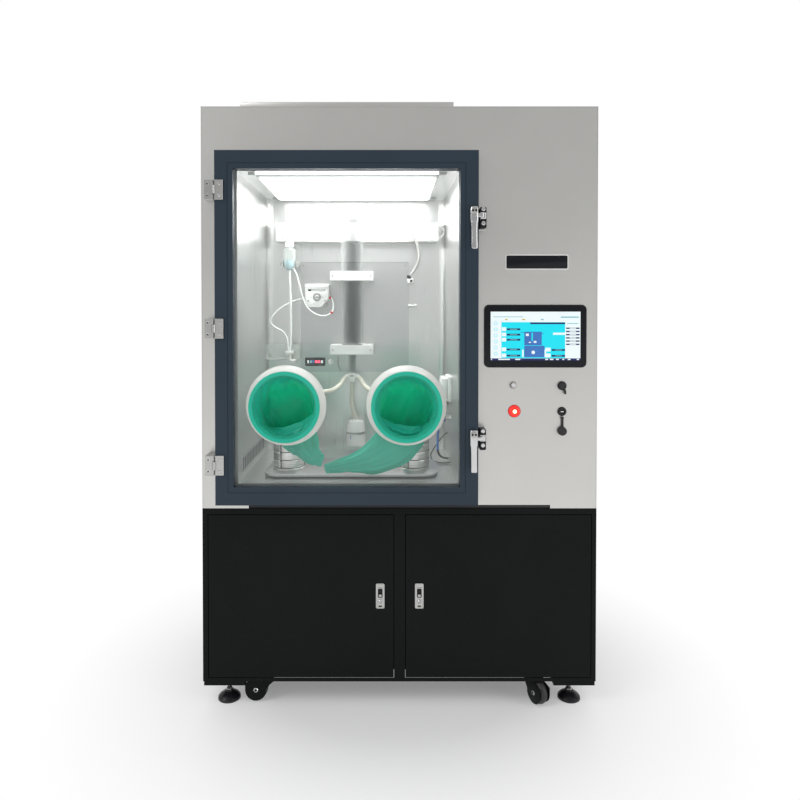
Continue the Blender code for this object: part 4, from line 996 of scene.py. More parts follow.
def wall_grille(x, facing_x, depths, heights, pitch=0.026):
    """A slotted air grille on a side wall of the chamber."""
    (y0, y1), (z0, z1) = depths, heights
    slots = []
    count = int((y1 - y0 - 0.012) / pitch)
    for step in range(count):
        y = y0 + 0.008 + pitch * step
        slots.append(rounded(y, y + pitch * 0.62, z0 + 0.005, z1 - 0.005, 0.0015, 3))
    front = plate(rounded(y0, y1, z0, z1, 0.004, 4), 0.0006, 0.002, slots)
    # a dark sheet behind the slots: painted shade seen through them
    back = plate(rounded(y0 + 0.002, y1 - 0.002, z0 + 0.002, z1 - 0.002, 0.003, 4), 0.0001, 0.0005)
    for shape in (front, back):
        for vert in shape.verts:
            vert.co = (x + facing_x * vert.co.y, vert.co.x, vert.co.z)
    return [(front, "panel"), (back, "dark")]


def chamber_shell():
    """Bright liner, mounting plate with its screws, ceiling lamp, lamp batten and a grille on the left
    wall.
    """
    dress("liner", "chamber_liner")
    dress("panel", "mounting_plate")
    parts = []
    for x in (PANEL_LOW.x + 0.012, PANEL_HIGH.x - 0.012):
        for z in (PANEL_LOW.z + 0.012, PANEL_HIGH.z - 0.012):
            parts.append((screw((x, PANEL_LOW.y - 0.0001, z), 0.004), "cast"))
    strip = block((PANEL_LOW.x, PANEL_LOW.y - 0.0006, PANEL_HIGH.z - 0.0035),
                  (PANEL_HIGH.x, PANEL_LOW.y - 0.0001, PANEL_HIGH.z - 0.0002))
    parts.append((strip, "cast"))
    piece("panel_screws", parts, "cabinet")

    x0, x1 = CHAMBER_LOW.x + 0.058, CHAMBER_HIGH.x - 0.066
    y0, y1 = FRONT + 0.042, FRONT + 0.45
    tray = flat_plate(rounded(x0 - 0.008, x1 + 0.008, y0 - 0.008, y1 + 0.008, 0.012), CEILING - 0.011,
                      CEILING - 0.0003, bevel=0.001)
    cover = flat_plate(rounded(x0, x1, y0, y1, 0.01), CEILING - 0.015, CEILING - 0.0108, bevel=0.0015)
    parts = [(tray, "white"), (cover, "lamp")]
    strip = block((x0 - 0.006, FRONT + 0.01, CEILING - 0.006),
                  (x1 + 0.006, FRONT + 0.026, CEILING - 0.0004), 0.002)
    parts.append((strip, "lamp"))
    for y in (FRONT + 0.031, FRONT + 0.48):
        parts.append((rod([(x0 - 0.03, y, CEILING - 0.0035), ((x0 + x1) / 2, y, CEILING - 0.0035),
                           (x1 + 0.03, y, CEILING - 0.0035)], 0.003), "cast"))
    piece("ceiling_lamp", parts, "cabinet")

    low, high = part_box("lamp_batten")
    body = block((low.x + 0.006, low.y, low.z + 0.006), (high.x - 0.006, high.y, high.z - 0.004), 0.005,
                 4)
    lip = block((low.x + 0.01, low.y + 0.002, low.z), (high.x - 0.01, high.y, low.z + 0.0055), 0.0012)
    parts = [(body, "batten"), (lip, "cast")]
    for x, inward in ((low.x, 1), (high.x, -1)):
        cap = block((min(x, x + inward * 0.01), low.y, low.z + 0.004),
                    (max(x, x + inward * 0.01), high.y, high.z - 0.002), 0.003, 3)
        parts.append((cap, "white"))
        for z in (low.z + 0.016, high.z - 0.014):
            parts.append((screw((x + inward * 0.026, low.y + 0.0002, z), 0.0042), "chrome"))
            hook = rod([(x + inward * 0.018, low.y - 0.0035, z + 0.006),
                        (x + inward * 0.026, low.y - 0.0055, z),
                        (x + inward * 0.018, low.y - 0.0035, z - 0.006)], 0.0012, 8)
            parts.append((hook, "cast"))
    piece("batten_lamp", parts, "cabinet", ["lamp_batten"])

    left = CHAMBER_LOW.x + 0.0015
    grilles = wall_grille(left, 1, (FRONT + 0.059, FRONT + 0.45), (0.691, 0.739))
    piece("left_grille", grilles, "cabinet")


def aerosol_cylinder():
    """The glass tube with its fire-polished rims and tapered neck, and the clamps' screws."""
    low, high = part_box("aerosol_cylinder")
    x, y, radius = (low.x + high.x) / 2, (low.y + high.y) / 2, (high.x - low.x) / 2
    outer, inner = [], []
    for step in range(9):
        share = step / 8
        ease = share * share * (3 - 2 * share)
        z = low.z + 0.058 + 0.026 * share
        outer.append((0.0145 + (radius - 0.0145) * ease, z))
        inner.append((0.0118 + (radius - 0.0148) * ease, z + 0.003))
    profile = [(0.0145, low.z), *outer, (radius, high.z - 0.002), (radius - 0.0012, high.z),
               (radius - 0.0022, high.z), (radius - 0.003, high.z - 0.002), *inner[::-1], (0.0118, low.z)]
    tube = turned(profile, (x, y, 0), UP, 96, True)
    piece("glass_cylinder", [(tube, "tube_glass")], "cabinet", ["aerosol_cylinder"])
    dress("white", "cylinder_clamp_upper", "cylinder_clamp_lower")
    parts = []
    for level in ("upper", "lower"):
        low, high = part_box(f"cylinder_clamp_{level}")
        z = (low.z + high.z) / 2
        for side_x in (low.x + 0.009, high.x - 0.009):
            parts.append((screw((side_x, low.y + 0.0053, z), 0.0036), "cast"))
    piece("clamp_screws", parts, "cabinet")


def pump():
    """The peristaltic pump head: stepped cover, occlusion slot and lever, screws and rotor."""
    low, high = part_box("pump_head")
    rotor_low, rotor_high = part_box("pump_rotor")
    shaft = (rotor_low + rotor_high) / 2
    radius = (rotor_high.x - rotor_low.x) / 2
    cut_x, cut_z = high.x - 0.024, low.z + 0.012
    outline = [(low.x + 0.004, low.z), (cut_x - 0.008, low.z), (cut_x, low.z + 0.004),
               (cut_x + 0.006, cut_z), (high.x - 0.012, cut_z + 0.006), (high.x - 0.002, cut_z + 0.018),
               (high.x, cut_z + 0.03), (high.x, high.z - 0.008)]
    for step in range(5):
        angle = math.radians(90 * step / 4)
        outline.append((high.x - 0.006 + 0.006 * math.cos(angle),
                        high.z - 0.006 + 0.006 * math.sin(angle)))
    for step in range(5):
        angle = math.radians(90 + 90 * step / 4)
        outline.append((low.x + 0.006 + 0.006 * math.cos(angle),
                        high.z - 0.006 + 0.006 * math.sin(angle)))
    outline.append((low.x, low.z + 0.004))
    hole = circle(shaft.x, shaft.z, radius + 0.0006, 40)
    slot = rounded(low.x + 0.01, high.x - 0.014, high.z - 0.026, high.z - 0.019, 0.003, 5)
    cover = plate(outline, low.y + 0.0008, low.y + 0.02, [hole, slot], 0.0014)
    rear = plate(outline, low.y + 0.0204, high.y, [hole], 0.001)
    # a dark sheet at the floor of the slot: painted shade in it
    painted_shade_well = plate(slot, low.y + 0.008, low.y + 0.0095)
    lever = block((low.x + 0.022, low.y + 0.0002, high.z - 0.0245),
                  (high.x - 0.016, low.y + 0.008, high.z - 0.0205), 0.0015)
    arch = plate(rounded(low.x + 0.004, high.x - 0.004, high.z - 0.014, high.z - 0.002, 0.004, 5),
                 low.y + 0.0001, low.y + 0.0012, bevel=0.0004)
    parts = [(cover, "white"), (rear, "white"), (painted_shade_well, "dark"), (lever, "white"), (arch, "white")]
    parts.append((turned([(radius + 0.0008, 0), (radius + 0.0052, 0), (radius + 0.0046, 0.0009),
                          (radius + 0.0012, 0.0009)], (shaft.x, low.y + 0.0009, shaft.z), OUT, 48, True),
                  "cast"))
    for dx, dz, size, coat in ((-0.0205, 0.0, 0.0024, "grey_hose"), (0.0205, 0.0, 0.0024, "grey_hose"),
            (-0.031, -0.013, 0.0038, "grey_hose"), (0.029, -0.012, 0.0038, "grey_hose")):
        parts.append((screw((shaft.x + dx, low.y + 0.0008, shaft.z + dz), size), coat))
    parts.append((turned([(0, 0), (0.0042, 0), (0.0042, 0.002), (0.003, 0.003), (0, 0.003)],
                         (low.x + 0.014, low.y + 0.0045, high.z - 0.0225), OUT, 24), "black"))
    parts.append((block((cut_x + 0.004, low.y + 0.006, low.z + 0.002),
                        (cut_x + 0.014, low.y + 0.016, cut_z + 0.004), 0.002), "cast"))
    piece("pump_cover", parts, "cabinet", ["pump_head"])
    face = rotor_low.y
    rotor = turned([(0, 0.0002), (0.003, 0.0002), (0.0034, 0.0), (radius - 0.003, 0.0),
                    (radius - 0.0022, 0.0012), (radius - 0.0004, 0.0016),
                    (radius - 0.0003, rotor_high.y - face), (0, rotor_high.y - face)],
                   (shaft.x, face, shaft.z), (0, 1, 0), 48)
    # a dark bar across the hub: painted shade of its slot
    flat = block((shaft.x - 0.0045, face - 0.0002, shaft.z - 0.001),
                 (shaft.x + 0.0045, face + 0.0003, shaft.z + 0.001))
    piece("rotor_hub", [(rotor, "alloy"), (flat, "dark")], "pump_rotor", ["pump_rotor"])


def samplers():
    """Cascade samplers: eight stages with seal lines, three sprung rods and an inlet cone."""
    for side in ("left", "right"):
        low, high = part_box(f"sampler_{side}")
        x, y = (low.x + high.x) / 2, (low.y + high.y) / 2
        radius = (high.x - low.x) / 2 - 0.002
        stages, foot = 8, 0.006
        pitch = (high.z - low.z - foot - 0.03) / stages
        profile = [(0, 0), (radius + 0.0018, 0), (radius + 0.0018, foot - 0.001), (radius, foot)]
        seals = []
        for stage in range(stages):
            z = foot + stage * pitch
            profile += [(radius - 0.0015, z + 0.0003), (radius - 0.0015, z + 0.0018),
                        (radius - 0.0002, z + 0.0026), (radius - 0.0002, z + pitch - 0.001),
                        (radius - 0.0012, z + pitch - 0.0001)]
            seals.append(turned([(radius - 0.0018, z + 0.0003), (radius - 0.0006, z + 0.0003),
                                 (radius - 0.0006, z + 0.0018), (radius - 0.0018, z + 0.0018)],
                                (x, y, low.z), UP, 72, True))
        top = foot + stages * pitch
        profile += [(radius - 0.001, top + 0.001), (radius * 0.62, top + 0.006), (0.015, top + 0.0125),
                    (0.0118, top + 0.016), (0.0118, top + 0.0285), (0.0105, high.z - low.z),
                    (0.0092, high.z - low.z), (0.0092, top + 0.015), (0, top + 0.015)]
        parts = [(turned(profile, (x, y, low.z), UP, 72), "alloy")]
        parts += [(seal, "dark") for seal in seals]
        for step in range(3):
            angle = math.radians(-112 + 120 * step)
            rx, ry = x + (radius + 0.0002) * math.cos(angle), y + (radius + 0.0002) * math.sin(angle)
            post = [(0, foot), (0.0016, foot), (0.0016, top - 0.004), (0.003, top - 0.003),
                    (0.003, top + 0.002), (0.0018, top + 0.004), (0, top + 0.004)]
            parts.append((turned(post, (rx, ry, low.z), UP, 16), "hub"))
            for stage in range(stages):
                z = foot + (stage + 0.92) * pitch
                parts.append((turned([(0, z - 0.003), (0.0026, z - 0.0022), (0.0028, z),
                                      (0.0026, z + 0.0022), (0, z + 0.003)], (rx, ry, low.z), UP, 12),
                              "hub"))
        piece(f"cascade_{side}", parts, "cabinet", [f"sampler_{side}"])


def tray_and_trap():
    """The tray on its dark gasket with a thin white ring as a painted highlight on its rim, and the
    moisture trap with its band clamp and side port.
    """
    low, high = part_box("sampler_tray")
    top = flat_plate(rounded(low.x, high.x, low.y, high.y, 0.052, 16), low.z + 0.0045, high.z,
                     bevel=0.001)
    gasket = flat_plate(rounded(low.x + 0.002, high.x - 0.002, low.y + 0.002, high.y - 0.002, 0.05, 16),
                        low.z, low.z + 0.0044)
    # a thin white ring on the tray's top edge: a painted highlight along the rim
    inner = rounded(low.x + 0.0025, high.x - 0.0025, low.y + 0.0025, high.y - 0.0025, 0.0495, 16)
    rim = flat_plate(rounded(low.x, high.x, low.y, high.y, 0.052, 16), high.z - 0.0004, high.z - 0.00005,
                     [inner])
    piece("round_tray", [(top, "panel"), (rim, "white"), (gasket, "rubber")], "cabinet",
          ["sampler_tray"])
    low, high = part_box("trap_bottle")
    x, y, radius = (low.x + high.x) / 2, (low.y + high.y) / 2, (high.x - low.x) / 2
    half = (high.z - low.z) * 0.52
    cup = turned([(0, 0), (radius - 0.006, 0), (radius - 0.0035, 0.0008), (radius - 0.0015, 0.004),
                  (radius - 0.0012, half - 0.002), (0, half - 0.002)], (x, y, low.z), UP, 64)
    lid = turned([(0, half - 0.002), (radius - 0.001, half - 0.002), (radius - 0.001, half + 0.006),
                  (radius - 0.003, half + 0.028), (radius - 0.007, high.z - low.z - 0.004),
                  (radius - 0.012, high.z - low.z), (0, high.z - low.z)], (x, y, low.z), UP, 64)
    band = turned([(radius - 0.001, half - 0.004), (radius - 0.0001, half - 0.004),
                   (radius - 0.0001, half + 0.003), (radius - 0.001, half + 0.003)], (x, y, low.z), UP,
                  64, True)
    lug = block((x + 0.012, y - radius - 0.002, low.z + half - 0.005),
                (x + 0.02, y - radius + 0.006, low.z + half + 0.004), 0.001)
    mark = block((x - 0.0185, y - radius + 0.0035, low.z + half - 0.021),
                 (x - 0.016, y - radius + 0.0055, low.z + half - 0.007), 0.0004)
    spout = rod([(x + 0.024, y, high.z - 0.012), (x + 0.0275, y, high.z + 0.0),
                 (x + 0.0275, y, high.z + 0.014)], 0.0034)
    collar = turned([(0.008, -0.001), (0.0115, -0.001), (0.0105, 0.007), (0.008, 0.007)], (x, y, high.z),
                    UP, 40, True)
    piece("moisture_trap", [(cup, "white"), (lid, "white"), (band, "cast"), (lug, "cast"), (mark, "blue"),
                            (spout, "white"), (collar, "white")], "cabinet",
          ["trap_bottle"])


def panel_meter():
    """The small lit display with plain blocks for its digits, and the knob beside it."""
    x0, x1, z0, z1 = PANEL_LOW.x + 0.016, PANEL_LOW.x + 0.09, 0.9855, 1.0165
    face = PANEL_LOW.y - 0.0065
    case = plate(rounded(x0, x1, z0, z1, 0.0025, 4), face, PANEL_LOW.y - 0.0002, bevel=0.0008)
    window = plate(rounded(x0 + 0.004, x1 - 0.004, z0 + 0.005, z1 - 0.005, 0.001, 3), face - 0.0004,
                   face + 0.0004)
    parts = [(case, "black"), (window, "gloss")]
    for start, width, coat in ((0.12, 0.08, "page"), (0.26, 0.08, "mint"), (0.37, 0.08, "sky"),
            (0.5, 0.13, "digit_red"), (0.65, 0.11, "digit_red"), (0.8, 0.09, "page")):
        left = x0 + (x1 - x0) * start
        parts.append((block((left, face - 0.0009, z0 + 0.011),
                            (left + (x1 - x0) * width, face - 0.0003, z1 - 0.0105), 0.0002), coat))
    knob_at = (PANEL_LOW.x + 0.1105, PANEL_LOW.y - 0.0002, 1.0)
    parts.append((turned([(0, 0), (0.0098, 0), (0.0098, 0.0022), (0.0075, 0.004), (0.007, 0.0125),
                          (0.006, 0.0138), (0, 0.0138)], knob_at, OUT, 48), "white"))
    for dx, dz in ((0.133, 0.002), (0.146, 0.01)):
        parts.append((screw((PANEL_LOW.x + dx, PANEL_LOW.y - 0.0001, 1.0 + dz), 0.0024), "cast"))
    for x in (-0.055, -0.012):
        parts.append((rod([(middle("aerosol_cylinder").x + x, PANEL_LOW.y - 0.004, 1.02),
                           (middle("aerosol_cylinder").x + x, PANEL_LOW.y - 0.004, 0.99),
                           (middle("aerosol_cylinder").x + x * 0.8, PANEL_LOW.y - 0.004, 0.966)], 0.0022,
                          10), "grey_hose"))
    piece("panel_meter", parts, "cabinet")


def socket_box():
    """The ribbed power box on the right wall, and the metal tee that the air hose leaves."""
    wall = CHAMBER_HIGH.x - 0.0015
    x0, y0, y1, z0, z1 = wall - 0.033, FRONT + 0.2, FRONT + 0.31, 0.888, 0.972
    back = block((wall - 0.014, y0, z0), (wall - 0.0002, y1, z1), 0.003, 3)
    cover = block((x0, y0 + 0.004, z0 + 0.004), (wall - 0.0135, y1 - 0.004, z1 - 0.004), 0.006, 4)
    parts = [(back, "white"), (cover, "white")]
    for step in range(6):
        y = y0 + 0.014 + 0.0165 * step
        parts.append((block((x0 - 0.0012, y, z0 + 0.01), (x0 + 0.004, y + 0.005, z1 - 0.01), 0.001),
                      "white"))
    gland = turned([(0, 0), (0.009, 0), (0.009, 0.006), (0.007, 0.008), (0.007, 0.014), (0, 0.014)],
                   (wall - 0.016, y0 + 0.04, z0), DOWN, 24)
    parts.append((gland, "grey_hose"))
    tee_z, tee_y = 0.836, FRONT + 0.25
    parts.append((turned([(0, 0), (0.01, 0), (0.01, 0.004), (0.0065, 0.005), (0.0065, 0.02),
                          (0.008, 0.021), (0.008, 0.03), (0, 0.03)], (wall, tee_y, tee_z), (-1, 0, 0), 6),
                  "cast"))
    parts.append((turned([(0, -0.012), (0.006, -0.012), (0.006, 0.01), (0.0045, 0.012), (0, 0.012)],
                         (wall - 0.0245, tee_y, tee_z), UP, 32), "cast"))
    parts.append((turned([(0.0042, 0.0), (0.0066, 0.0), (0.0066, 0.006), (0.0042, 0.006)],
                         (wall - 0.0245, tee_y, tee_z - 0.016), UP, 32, True), "blue"))
    parts.append((block((wall - 0.031, tee_y - 0.012, tee_z + 0.01),
                        (wall - 0.018, tee_y + 0.012, tee_z + 0.0155), 0.0015), "yellow"))
    piece("power_box", parts, "cabinet")


chamber_shell()
aerosol_cylinder()
pump()
samplers()
tray_and_trap()
panel_meter()
socket_box()


# ---- chamber door -------------------------------------------------------------------------
def door_details():
    """Finish of the frame, pane and seal, and the screws of the three hinges."""
    dress("door", "door_frame")
    dress("pane", "door_glass")
    dress("silicone", "door_seal")
    for level in ("top", "middle", "bottom"):
        dress("cast", f"hinge_block_{level}", f"hinge_leaf_{level}")
        low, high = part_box(f"hinge_leaf_{level}")
        knuckle = low.x + 0.006
        leaf = []
        for z in (low.z + 0.012, high.z - 0.012):
            leaf.append((screw(((knuckle + high.x) / 2 + 0.003, high.y - 0.0057 - 0.0003, z), 0.0046),
                         "chrome"))
        leaf.append((block((knuckle + 0.0012, high.y - 0.0066, low.z + 0.002),
                           (knuckle + 0.0022, high.y - 0.0058, high.z - 0.002)), "dark"))
        piece(f"hinge_screws_{level}", leaf, "chamber_door")
        low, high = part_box(f"hinge_block_{level}")
        fixed = []
        for z in (low.z + 0.012, high.z - 0.012):
            fixed.append((turned([(0.0024, -0.0008), (0.005, -0.0001), (0.0054, 0.0002), (0.004, 0.0003),
                                  (0.0022, -0.0004)], (low.x + 0.01, low.y, z), OUT, 32, True), "chrome"))
            # a dark hexagon inside the ring: painted shade in the socket
            fixed.append((turned([(0, 0), (0.0024, 0), (0.0024, 0.0003), (0, 0.0003)],
                                 (low.x + 0.01, low.y, z), OUT, 6), "dark"))
        piece(f"hinge_plugs_{level}", fixed, "cabinet")


def latches():
    """Lever latches with a screwed head, a roller and a tapered grip; hooked keepers."""
    for level in ("upper", "lower"):
        low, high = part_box(f"latch_lever_{level}")
        keeper_low, keeper_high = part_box(f"latch_keeper_{level}")
        left, right, back = low.x + 0.0065, low.x + 0.029, high.y
        head_low = high.z - 0.05
        head = block((left, back - 0.0195, head_low), (right, back, high.z), 0.0055, 5)
        face_plate = block((left + 0.003, back - 0.0205, high.z - 0.022),
                           (right - 0.003, back - 0.0185, high.z - 0.004), 0.0009, 3)
        parts = [(head, "chrome"), (face_plate, "cast")]
        for x in (left + 0.0066, right - 0.0066):
            parts.append((screw((x, back - 0.0204, high.z - 0.013), 0.0034), "dark"))
        loops = []
        centre = (left + right) / 2
        grip = ((head_low + 0.012, 0.0104, back - 0.011, 0.0085),
                (head_low + 0.002, 0.0098, back - 0.0118, 0.0078),
                (head_low - 0.016, 0.0088, back - 0.014, 0.0062),
                (low.z + 0.022, 0.0086, back - 0.0172, 0.0054),
                (low.z + 0.008, 0.009, back - 0.0186, 0.0052),
                (low.z + 0.002, 0.0082, back - 0.0188, 0.0046),
                (low.z + 0.0002, 0.006, back - 0.0188, 0.003))
        for z, half, y, deep in grip:
            loop = []
            for step in range(24):
                turn = 2 * math.pi * step / 24
                cos, sin = math.cos(turn), math.sin(turn)
                loop.append(Vector((centre + half * math.copysign(abs(cos) ** 0.6, cos),
                                    y + deep * math.copysign(abs(sin) ** 0.6, sin), z)))
            loops.append(loop)
        parts.append((loft(loops), "chrome"))
        nose_z = high.z - 0.026
        arm = block((right - 0.006, back - 0.0135, nose_z - 0.0055),
                    (high.x - 0.0035, back - 0.0075, nose_z + 0.0055), 0.0015, 3)
        roller = turned([(0, -0.006), (0.003, -0.006), (0.0038, -0.0052), (0.0038, 0.0052),
                         (0.003, 0.006), (0, 0.006)], (high.x - 0.0039, back - 0.0105, nose_z), UP, 32)
        side_boss = turned([(0, 0), (0.0052, 0), (0.0044, 0.001), (0, 0.001)],
                           (right - 0.009, back - 0.0195, nose_z), OUT, 32)
        parts += [(arm, "chrome"), (roller, "chrome"), (side_boss, "chrome")]
        piece(f"latch_handle_{level}", parts, f"{level}_latch", [f"latch_lever_{level}"])

        x0, x1, face, rear = keeper_low.x, keeper_high.x, keeper_low.y, FRONT - 0.0003
        z0, z1 = keeper_low.z, keeper_high.z
        foot = plate(rounded(x0, x1, z0, z1, 0.004), rear - 0.003, rear, bevel=0.0008)
        # the black riser between the foot and the hook is painted shade of the gap between door and
        # keeper
        painted_shade_riser = plate(rounded(x0 + 0.001, x1 - 0.002, z0 + 0.002, z1 - 0.002, 0.004), face + 0.008,
                      rear - 0.0025, bevel=0.001)
        hook = block((x0 + 0.0005, face + 0.0005, nose_z - 0.01),
                     (x1 - 0.004, face + 0.0095, nose_z + 0.01), 0.0028, 4)
        lip = block((x0 + 0.0005, face, nose_z + 0.006), (x1 - 0.008, face + 0.005, nose_z + 0.01),
                    0.0018, 3)
        parts = [(foot, "chrome"), (painted_shade_riser, "black"), (hook, "chrome"), (lip, "chrome")]
        for z in (nose_z + 0.02, nose_z - 0.0215):
            boss = turned([(0, 0), (0.0066, 0), (0.006, 0.0022), (0.0036, 0.003), (0.0034, 0.0014),
                           (0, 0.0014)], ((x0 + x1) / 2, face + 0.0082, z), OUT, 32)
            parts.append((boss, "chrome"))
        piece(f"latch_hook_{level}", parts, "cabinet", [f"latch_keeper_{level}"])


def port_rings():
    """Tapered rings with a soft shoulder, clamped through the pane by an inner nut."""
    for side in ("left", "right"):
        low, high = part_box(f"port_ring_{side}")
        x, z = (low.x + high.x) / 2, (low.z + high.z) / 2
        ledge = PANE_LOW.y
        flange, rim, bore, length = (high.x - low.x) / 2, 0.1062, 0.0985, ledge - low.y
        inside = high.y - ledge
        profile = [(flange - 0.0004, -0.0003), (flange, -0.0015), (flange, -0.0062),
                   (flange - 0.0012, -0.0088), (flange - 0.0032, -0.011), (rim + 0.004, -0.024),
                   (rim + 0.0008, -length + 0.006), (rim - 0.0006, -length + 0.0022),
                   (rim - 0.003, -length + 0.0003), (rim - 0.005, -length), (bore, -length),
                   (bore, inside), (0.1045, inside), (0.1045, -0.0003)]
        ring = turned(profile, (x, ledge, z), (0, 1, 0), 128, True)
        nut = turned([(0.1047, 0.0084), (0.114, 0.0084), (0.115, 0.0096), (0.115, 0.015),
                      (0.1138, 0.0164), (0.1047, 0.0164)], (x, ledge, z), (0, 1, 0), 96, True)
        gasket = turned([(0.1048, 0.0076), (0.1165, 0.0076), (0.1165, 0.0083), (0.1048, 0.0083)],
                        (x, ledge + 0.0005, z), (0, 1, 0), 96, True)
        piece(f"port_collar_{side}", [(ring, "ring"), (nut, "ring"), (gasket, "rubber")], "chamber_door",
              [f"port_ring_{side}"], 30)


# the sleeve's middle line from the port's centre, with half its width and half its depth
MOUTH = [((0, -0.0465, 0), 0.0912, 0.0912), ((0, -0.034, 0), 0.0905, 0.0905),
         ((0, -0.016, -0.001), 0.0885, 0.088), ((0, 0.006, -0.003), 0.0865, 0.084)]
SLEEVES = {"left": [((0.002, 0.03, -0.009), 0.0845, 0.073), ((0.008, 0.052, -0.026), 0.082, 0.052),
                    ((0.02, 0.062, -0.062), 0.076, 0.04), ((0.036, 0.062, -0.098), 0.064, 0.032),
                    ((0.052, 0.06, -0.128), 0.052, 0.025), ((0.068, 0.058, -0.148), 0.04, 0.0175),
                    ((0.086, 0.056, -0.159), 0.028, 0.0095), ((0.102, 0.055, -0.165), 0.019, 0.0035)],
           "right": [((-0.002, 0.03, -0.009), 0.0845, 0.073), ((-0.007, 0.052, -0.028), 0.083, 0.052),
                     ((-0.014, 0.062, -0.07), 0.08, 0.04), ((-0.044, 0.062, -0.122), 0.074, 0.033),
                     ((-0.094, 0.06, -0.155), 0.056, 0.027), ((-0.143, 0.058, -0.17), 0.04, 0.02),
                     ((-0.188, 0.056, -0.179), 0.0275, 0.0135), ((-0.224, 0.055, -0.185), 0.0195, 0.0075),
                     ((-0.248, 0.054, -0.19), 0.015, 0.003)],}
CUFF = [(0.1028, -0.044), (0.1036, -0.0462), (0.1034, -0.0484), (0.1022, -0.0497), (0.1, -0.05),
        (0.0975, -0.05), (0.095, -0.0498), (0.0932, -0.0491), (0.092, -0.048)]
AROUND = 112
ALONG = 76
CLOTH_FRAMES = 8
CLOTH_REACH = 0.013


def ease(value):
    value = min(1.0, max(0.0, value))
    return value * value * (3 - 2 * value)


def sleeve_rows(side, seed):
    """Rows of points of the sleeve, pleated round its mouth and creased along its length."""
    stations = [(Vector(at), wide, deep) for at, wide, deep in MOUTH + SLEEVES[side]]
    spine = smooth_route([at for at, _, _ in stations], 12)
    widths = smooth_route([(wide, deep, 0) for _, wide, deep in stations], 12)
    draw = random.Random(seed)
    waves = [(count, draw.uniform(0, 6.28), draw.uniform(-2.5, 2.5), share) for count,
             share in ((5, 0.34), (8, 0.3), (11, 0.22), (17, 0.14))]
    rows = [[Vector((radius * math.cos(t), y, radius * math.sin(t)))
             for t in (2 * math.pi * step / AROUND for step in range(AROUND))] for radius, y in CUFF]
    count = len(spine) - 1
    for row in range(ALONG):
        place = count * row / (ALONG - 1)
        index = min(int(place), count - 1)
        share = place - index
        at = spine[index].lerp(spine[index + 1], share)
        size = widths[index].lerp(widths[index + 1], share)
        ahead = spine[min(index + 2, count)] - spine[max(index - 1, 0)]
        along = ahead.normalized()
        back = Vector((0, 1, 0)) - along * along.y
        back = (back + Vector((0, 0, 0.12)) * (1 - ease(back.length * 2))).normalized()
        back = (back - along * back.dot(along)).normalized()
        across = along.cross(back).normalized()
        u = row / (ALONG - 1)
        depth = 0.0105 * ease(u / 0.3) * (1 - 0.55 * ease((u - 0.55) / 0.45))
        loop = []
        for step in range(AROUND):
            turn = 2 * math.pi * step / AROUND
            fold = sum(part * math.cos(n * turn + phase + drift * u * 3) for n, phase, drift,
                       part in waves)
            fold = 0.5 - 0.5 * math.copysign(abs(fold) ** 0.8, fold)
            crease = 0.0016 * ease(u / 0.4) * math.sin(34 * u + 3 * math.cos(turn + 1.7 * seed))
            inset = min(depth * fold, size.y * 0.55) - crease * min(1, size.y / 0.03)
            loop.append(at + across * (size.x - inset) * math.cos(turn) + back * (size.y - inset)
                        * math.sin(turn))
        rows.append(loop)
    return rows


def drape(made, pinned_rows, hold_rows, total_rows):
    """Lets the film hang and buckle a little, then keeps it within reach of its own shape."""
    scene = bpy.context.scene
    group = made.vertex_groups.new(name="held")
    for row in range(total_rows):
        weight = 1.0 if row < pinned_rows else max(0.0, 1.0 - (row - pinned_rows) / hold_rows)
        if weight > 0:
            group.add(list(range(row * AROUND, (row + 1) * AROUND)), weight, "REPLACE")
    cloth = made.modifiers.new("cloth", "CLOTH")
    settings = cloth.settings
    settings.quality = 4
    settings.mass = 0.25
    settings.tension_stiffness = settings.compression_stiffness = 12
    settings.shear_stiffness = 6
    settings.bending_stiffness = 0.35
    settings.shrink_min = settings.shrink_max = -0.055
    settings.vertex_group_mass = "held"
    cloth.collision_settings.use_self_collision = True
    cloth.collision_settings.self_distance_min = 0.0018
    cloth.collision_settings.collision_quality = 2
    cloth.point_cache.frame_start = 1
    cloth.point_cache.frame_end = CLOTH_FRAMES
    for step in range(1, CLOTH_FRAMES + 1):
        scene.frame_set(step)
    settled = made.evaluated_get(bpy.context.evaluated_depsgraph_get())
    count = len(made.data.vertices)
    start, after = np.zeros(count * 3), np.zeros(count * 3)
    made.data.vertices.foreach_get("co", start)
    settled.data.vertices.foreach_get("co", after)
    scene.frame_set(1)
    start, after = start.reshape(-1, 3), after.reshape(-1, 3)
    moved = np.nan_to_num(after - start)
    length = np.linalg.norm(moved, axis=1, keepdims=True)
    moved *= CLOTH_REACH * np.tanh(length / CLOTH_REACH) / np.maximum(length, 1e-9)
    made.modifiers.remove(cloth)
    made.vertex_groups.clear()
    return start + moved


def keep_clear(points, centre):
    """Keeps the film inside the ring's bore, behind the pane, short of the rear and above the tray."""
    local = points - np.array(centre)
    radius = np.hypot(local[:, 0], local[:, 2])
    in_bore = (local[:, 1] < 0.0222) & (local[:, 1] > -0.0462)
    pull = np.where(in_bore & (radius > 0.0965), 0.0965 / np.maximum(radius, 1e-6), 1.0)
    local[:, 0] *= pull
    local[:, 2] *= pull
    outside = (radius > 0.0975) & (local[:, 1] > -0.0435)
    local[:, 1] = np.where(outside, np.maximum(local[:, 1], 0.0225), local[:, 1])
    local[:, 1] = np.minimum(local[:, 1], 0.126)
    local[:, 2] = np.maximum(local[:, 2], TRAY_TOP + 0.002 - centre[2])
    return local + np.array(centre)


